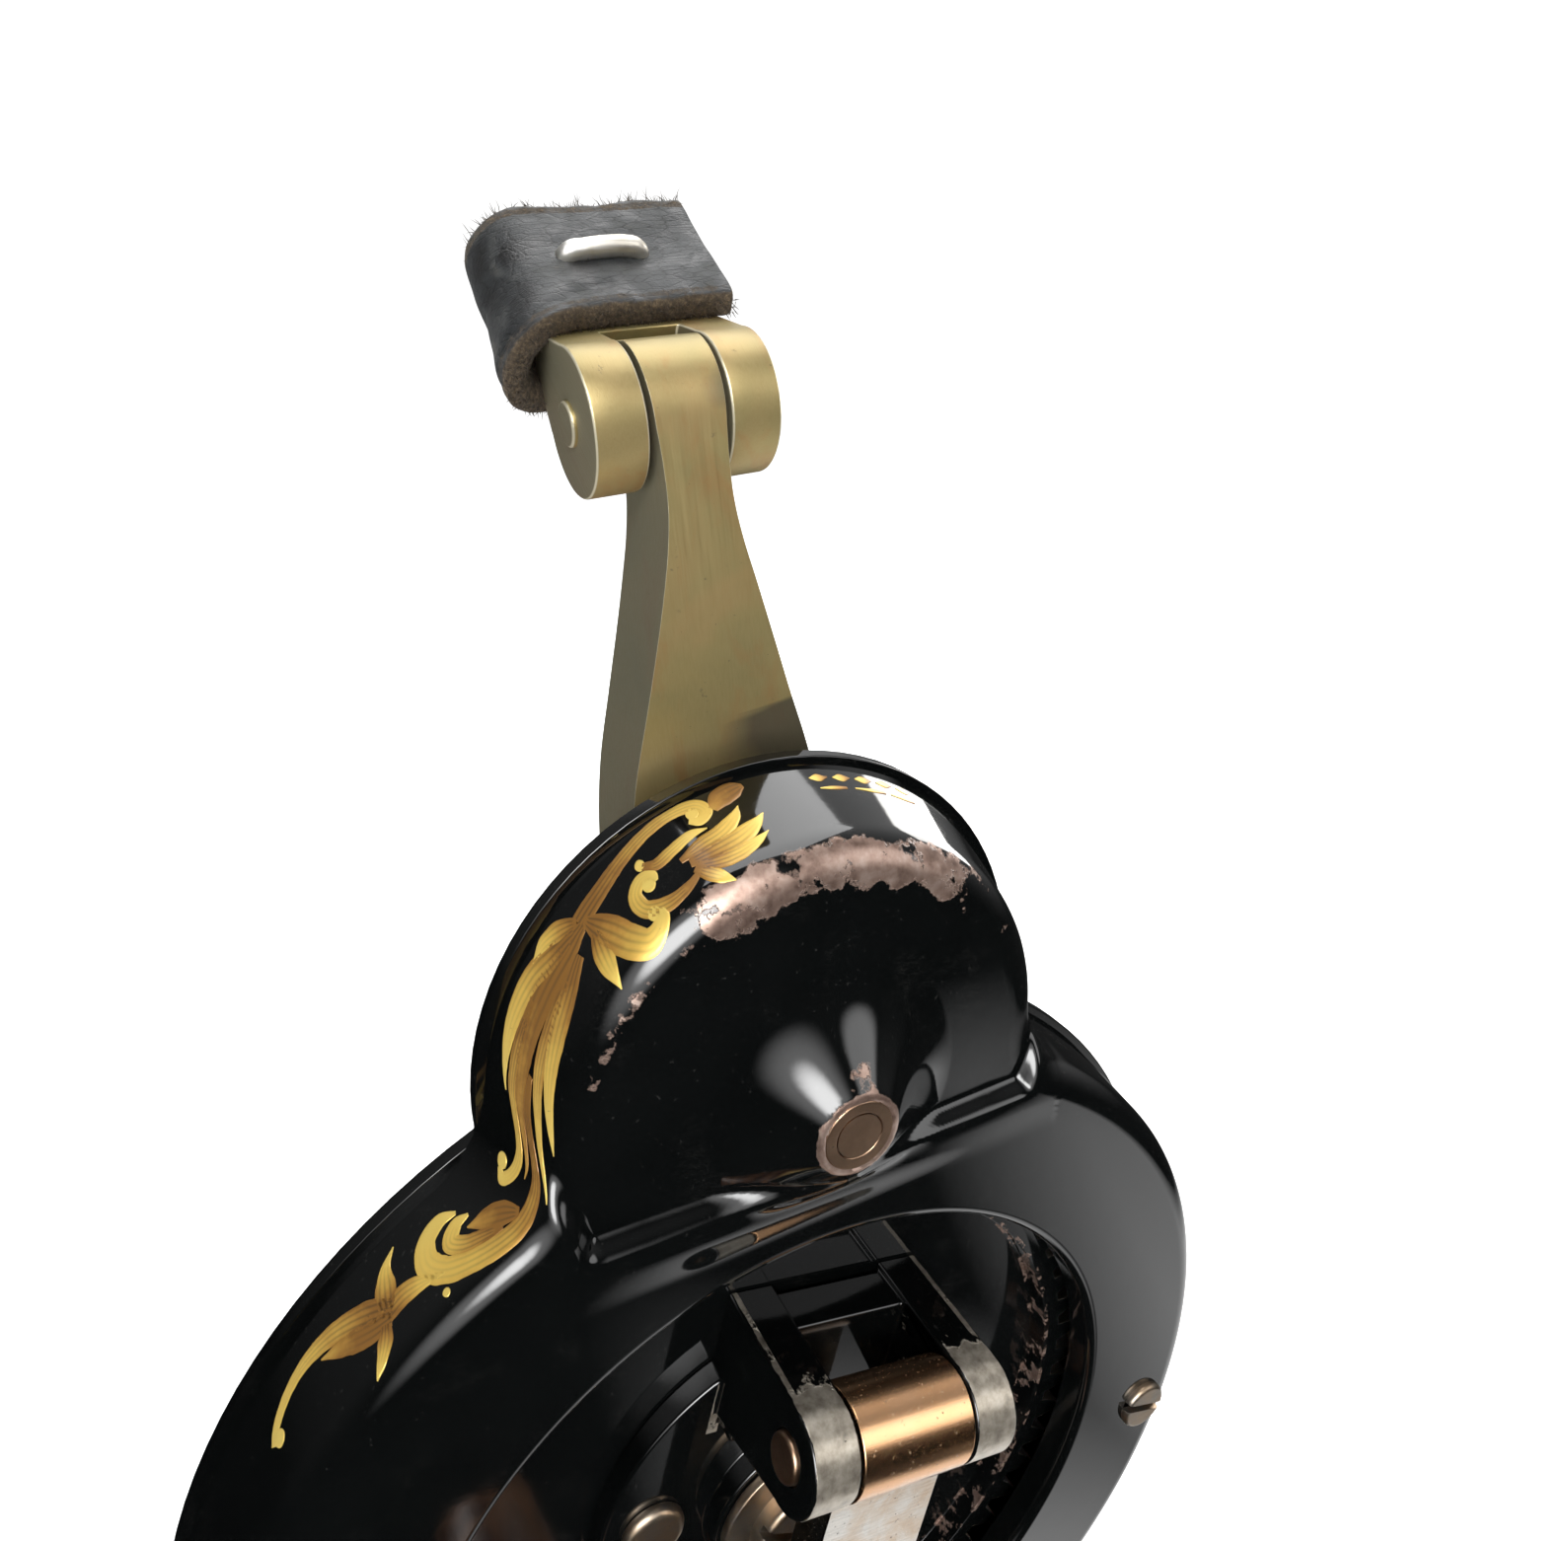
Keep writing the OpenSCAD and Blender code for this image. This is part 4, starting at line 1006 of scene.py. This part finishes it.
def leather_pad():
    """A thick strip wrapped round the fork's plate, open on the right, with creases and a lifting fold."""
    section = leather_section()
    steps = 132
    points, edge = [], []
    for i in range(steps + 1):
        u = i / steps
        (x, y), (nx, ny) = leather_path(u)
        fold = math.exp(-((u - 0.5) / 0.13)**2)
        end = min(u, 1 - u)
        for z, n, cut in section:
            low_share = (LEATHER_HIGH - z) / (LEATHER_HIGH - LEATHER_LOW)
            wide = 1 + 0.10 * fold * low_share
            where = Vector((x * 0.16, y * 0.16, z * 0.16))
            swell = 0.42 * noise.noise(where) + 0.16 * noise.noise(where * 3.1)
            crease = 0.20 * math.exp(-((z - 9.2 - 0.25 * x) / 0.5)**2) * (x < -1)
            fuzz = 0.16 * cut * noise.noise(Vector((x, y, z)) * 1.7)
            outer = n + (swell * (0.35 if n < 0 else 1.0)) * 0.6 - (crease if n > 0 else 0) + fuzz
            pull = 0.35 * math.exp(-((z - 12.3) / 2.2)**2) * math.exp(-((x + 0.6) / 4.5)**2) * (y < 0)
            outer -= pull * (n > 0)
            lift = 0.9 * fold * max(low_share - 0.55, 0) * 2
            ruffle = 0.25 * noise.noise(Vector((x * 0.3, y * 0.3, 7.0))) * cut
            shift_z = -2.2 * fold * low_share * low_share + ruffle
            points.append((x * wide + nx * (outer + lift), y * wide + ny * (outer + lift), z + shift_z))
            edge.append(1.0 if end < 0.002 else cut)
    count = len(section)
    loops = [points[i * count:(i + 1) * count] for i in range(steps + 1)]
    mesh = lofted("leather", loops, sharp=70)
    float_layer(mesh, "edge", edge)
    mesh = modified(mesh, ("SUBSURF", {"levels": 1, "render_levels": 1}))
    mesh.shade_smooth()
    made = new_piece("leather_wrap", mesh, MATERIALS["leather"], node="leather_pad", place=FINGER)
    return points, section, steps


def leather_fibres(points, section, steps):
    """Short loose fibres along the cut edges of the leather."""
    rng = random.Random(7)
    count = len(section)
    edge_rows = [k for k, (z, n, cut) in enumerate(section)
                 if cut > 0.9 and abs(2 * z - LEATHER_LOW - LEATHER_HIGH) > 10.4]
    verts, faces = [], []
    for _ in range(2200):
        i, k = rng.randrange(steps), rng.choice(edge_rows)
        root = Vector(points[i * count + k])
        up = 1 if section[k][0] > 12 else -1
        lean = Vector((rng.uniform(-0.8, 0.8), rng.uniform(-0.8, 0.8), up * rng.uniform(0.4, 1.0))).normalized()
        length = rng.uniform(0.25, 1.3 if up > 0 else 0.6)
        bend = Vector((rng.uniform(-1, 1), rng.uniform(-1, 1), rng.uniform(-0.4, 0.4))) * 0.25 * length
        side = lean.orthogonal().normalized() * 0.035
        across = lean.cross(side).normalized() * 0.035
        base = len(verts)
        for share, size in ((-0.2, 1.0), (0.5, 0.7), (1.0, 0.15)):
            middle = root + lean * length * share + bend * share * share
            verts += [middle + side * size, middle - side * size * 0.5 + across * size,
                      middle - side * size * 0.5 - across * size]
        faces += loop_faces(3, in_a_row(3), base)
        faces += [(base + 2, base + 1, base), (base + 6, base + 7, base + 8)]
    mesh = mesh_from("leather_fibres", verts, faces)
    float_layer(mesh, "edge", [1.0] * len(verts))
    new_piece("leather_fibres", mesh, MATERIALS["leather"], body=BODY_OF["leather_pad"],
              place=FINGER)


def tube(name, path, radius, sides=14):
    """A round wire along a list of points, with closed ends."""
    loops = []
    up = Vector((0, 0, 1))
    for i, point in enumerate(path):
        ahead = (path[min(i + 1, len(path) - 1)] - path[max(i - 1, 0)]).normalized()
        side = ahead.cross(up).normalized()
        over = side.cross(ahead)
        size = radius * (0.55 if i in (0, len(path) - 1) else 1)
        loops.append([point + (side * math.cos(a) + over * math.sin(a)) * size
                      for a in (2 * math.pi * k / sides for k in range(sides))])
    return lofted(name, loops, sharp=60)


def pad_staple():
    """Round wire: a low crown over the leather whose ends turn into it."""
    left, right, z = -3.4, 2.4, 12.3
    top, bend = -(PLATE_HALF_T + LEATHER_T + 0.25), 0.9
    path = [Vector((left, -PLATE_HALF_T - 0.2, z)), Vector((left, top + bend, z))]
    path += [Vector((left + bend * (1 - math.cos(a)), top + bend * (1 - math.sin(a)), z))
             for a in np.linspace(0, math.pi / 2, 8)[1:]]
    for share in np.linspace(0, 1, 12)[1:-1]:
        x = left + bend + (right - left - 2 * bend) * share
        path.append(Vector((x, top - 0.12 * math.sin(math.pi * share), z + 0.15 * (share - 0.5))))
    path += [Vector((right - bend * (1 - math.cos(a)), top + bend * (1 - math.sin(a)), z))
             for a in np.linspace(math.pi / 2, 0, 8)]
    path.append(Vector((right, -PLATE_HALF_T - 0.2, z)))
    mesh = tube("pad_staple", path, 0.8)
    new_piece("pad_staple_wire", mesh, MATERIALS["staple_wire"], node="pad_staple", place=FINGER)


driver_arm()
finger_fork()
leather_fibres(*leather_pad())
pad_staple()

# ---- Finished copies of the other CAD pieces ----

GEAR_BARE_R = 34.2

dress("finger_hinge_pin", 0.3, FINGER, MATERIALS["patina_steel"], 3)
dress("arm_taper_pin", 0.3, DRIVER)
dress("crank_hub", 0.45, FOLD, EAR_JAPAN, 3)
dress("crank_hinge_pin", 0.35, FOLD, MATERIALS["bronze"], 3)
dress("crank_arm", 0.4, FOLD, ARM_STEEL, 3)
dress("hub_rivets", 0.1)


def painted_gear():
    """The gear's web is varnished and worn along its rim's edge; its teeth are bare."""
    made = dress("crank_gear", 0.12, CRANK, WEB_JAPAN)
    mesh = made.data
    mesh.materials.append(MATERIALS["gear_iron"])
    for face in mesh.polygons:
        face.material_index = int(math.hypot(face.center.x, face.center.z) / MM > GEAR_BARE_R)


painted_gear()
for node, bevel in (("axle_screw", 0.15), ("axle_washer", 0.15), ("axle_stud", 0.1)):
    dress(node, bevel)
dress("housing_screws", 0.12, material=MATERIALS["screw_steel"])
for node, bevel in (("bracket_screws", 0.15), ("front_bush", 0.15), ("rear_bush", 0.15), ("pinion", 0.1)):
    dress(node, bevel)
dress("pinion_shaft", 0.2, material=MATERIALS["bronze"])
dress("mounting_bracket", 0.6, segments=3)
dress("back_plate", 0.35)
dress("handle_spindle", 0.2, HANDLE)
dress("handle_washer", 0.2, HANDLE)
dress("handle_ferrule", 0.25, HANDLE, segments=3)
dress("wooden_handle", 0.3, HANDLE)

# ---- Stage, lights and camera ----


def stage():
    low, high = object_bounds()
    bpy.ops.mesh.primitive_plane_add(size=8, location=(0, 0, low.z - 0.001))
    floor = bpy.context.object
    floor.name = "floor"
    floor.data.materials.append(floor_material("pale_floor"))
    floor.visible_glossy = False
    floor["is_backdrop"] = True


def area_light(name, place, aim, size, energy, colour=(1, 1, 1), mirrored=True):
    data = bpy.data.lights.new(name, "AREA")
    data.shape = "RECTANGLE"
    data.size = size
    data.size_y = size
    data.energy = energy
    data.color = colour
    made = bpy.data.objects.new(name, data)
    bpy.context.scene.collection.objects.link(made)
    made.visible_glossy = mirrored
    made.location = place
    made.rotation_euler = (Vector(aim) - Vector(place)).to_track_quat("-Z", "Y").to_euler()


def world():
    """A white studio, darker in front of and below the object, with two bright corners to the right.

    Two soft bright spots are seen in reflections only, and the camera sees plain white past the object.
    """
    made = bpy.data.worlds.new("studio")
    bpy.context.scene.world = made
    made.use_nodes = True
    tree = made.node_tree
    background = tree.nodes["Background"]
    way = shader(tree, "ShaderNodeTexCoord").outputs["Generated"]
    across, along, up = parts_of(tree, way)
    upwards = mapped(tree, up, -0.2, 0.5, 0.02, 0.85)
    away = mapped(tree, along, -0.6, 0.5, 0.04, 1.0)
    sides = mapped(tree, across, -0.2, 0.3, 0.18, 1.0)
    glow = times(tree, times(tree, upwards, away), sides)
    for (near, far), (high, deep), level in (((0.48, 0.60), (-0.49, -0.60), 1.0),
                                             ((0.18, 0.3), (-0.72, -0.84), 1.2)):
        corner = times(tree, mapped(tree, across, near, far, 0.0, level), mapped(tree, up, high, deep))
        glow = most(tree, glow, corner)
    paths = shader(tree, "ShaderNodeLightPath").outputs
    for aim, near, far, level in ((WINDOW_WAY, 0.76, 0.98, 2.4), (WINDOW_WAY, 0.93, 0.995, 14.0),
                                  (SIDE_WAY, 0.94, 0.985, 2.6)):
        towards = shader(tree, "ShaderNodeVectorMath", {0: way, 1: aim.normalized()},
                         operation="DOT_PRODUCT").outputs[1]
        soft = mapped(tree, towards, near, far, 0.0, level, interpolation_type="SMOOTHERSTEP")
        glow = plus(tree, glow, times(tree, soft, paths["Is Glossy Ray"]))
    strength = most(tree, glow, times(tree, paths["Is Camera Ray"], 1.1))
    background.inputs["Color"].default_value = (1, 1, 1, 1)
    tree.links.new(strength, background.inputs["Strength"])


def camera():
    """Close to the object, above it and to its left, with a wide lens."""
    data = bpy.data.cameras.new("camera")
    data.sensor_width = 36
    data.lens = 23.93
    data.clip_start = 0.005
    made = bpy.data.objects.new("camera", data)
    bpy.context.scene.collection.objects.link(made)
    right = Vector((0.8853, -0.4636, 0.0374)).normalized()
    back = Vector((-0.4464, -0.8244, 0.3479))
    back = (back - right * back.dot(right)).normalized()
    rotation = Matrix((right, back.cross(right), back)).transposed()
    made.matrix_world = Matrix.Translation(at(-36.4, -56.6, 101.0)) @ rotation.to_4x4()
    bpy.context.scene.camera = made


# The ways, from the object, to the window light and to the second bright spot of the reflections
WINDOW_WAY = Vector((-0.37, -0.72, 0.48))
SIDE_WAY = Vector((0.64, -0.62, 0.44))
stage()
middle = at(0, 5, 30)
area_light("window", middle + WINDOW_WAY, middle, 0.27, 5.0, (0.95, 0.98, 1.0), mirrored=False)
area_light("top", middle + Vector((0.15, 0.25, 0.95)), middle, 0.8, 8.0)
area_light("right", middle + Vector((0.75, 0.35, 0.25)), middle, 0.35, 3.0, (1.0, 0.98, 0.95))
area_light("fill", middle + Vector((0.30, -1.0, 0.30)), middle, 0.9, 3.0, mirrored=False)
world()
camera()
bpy.context.scene.view_settings.view_transform = "Standard"
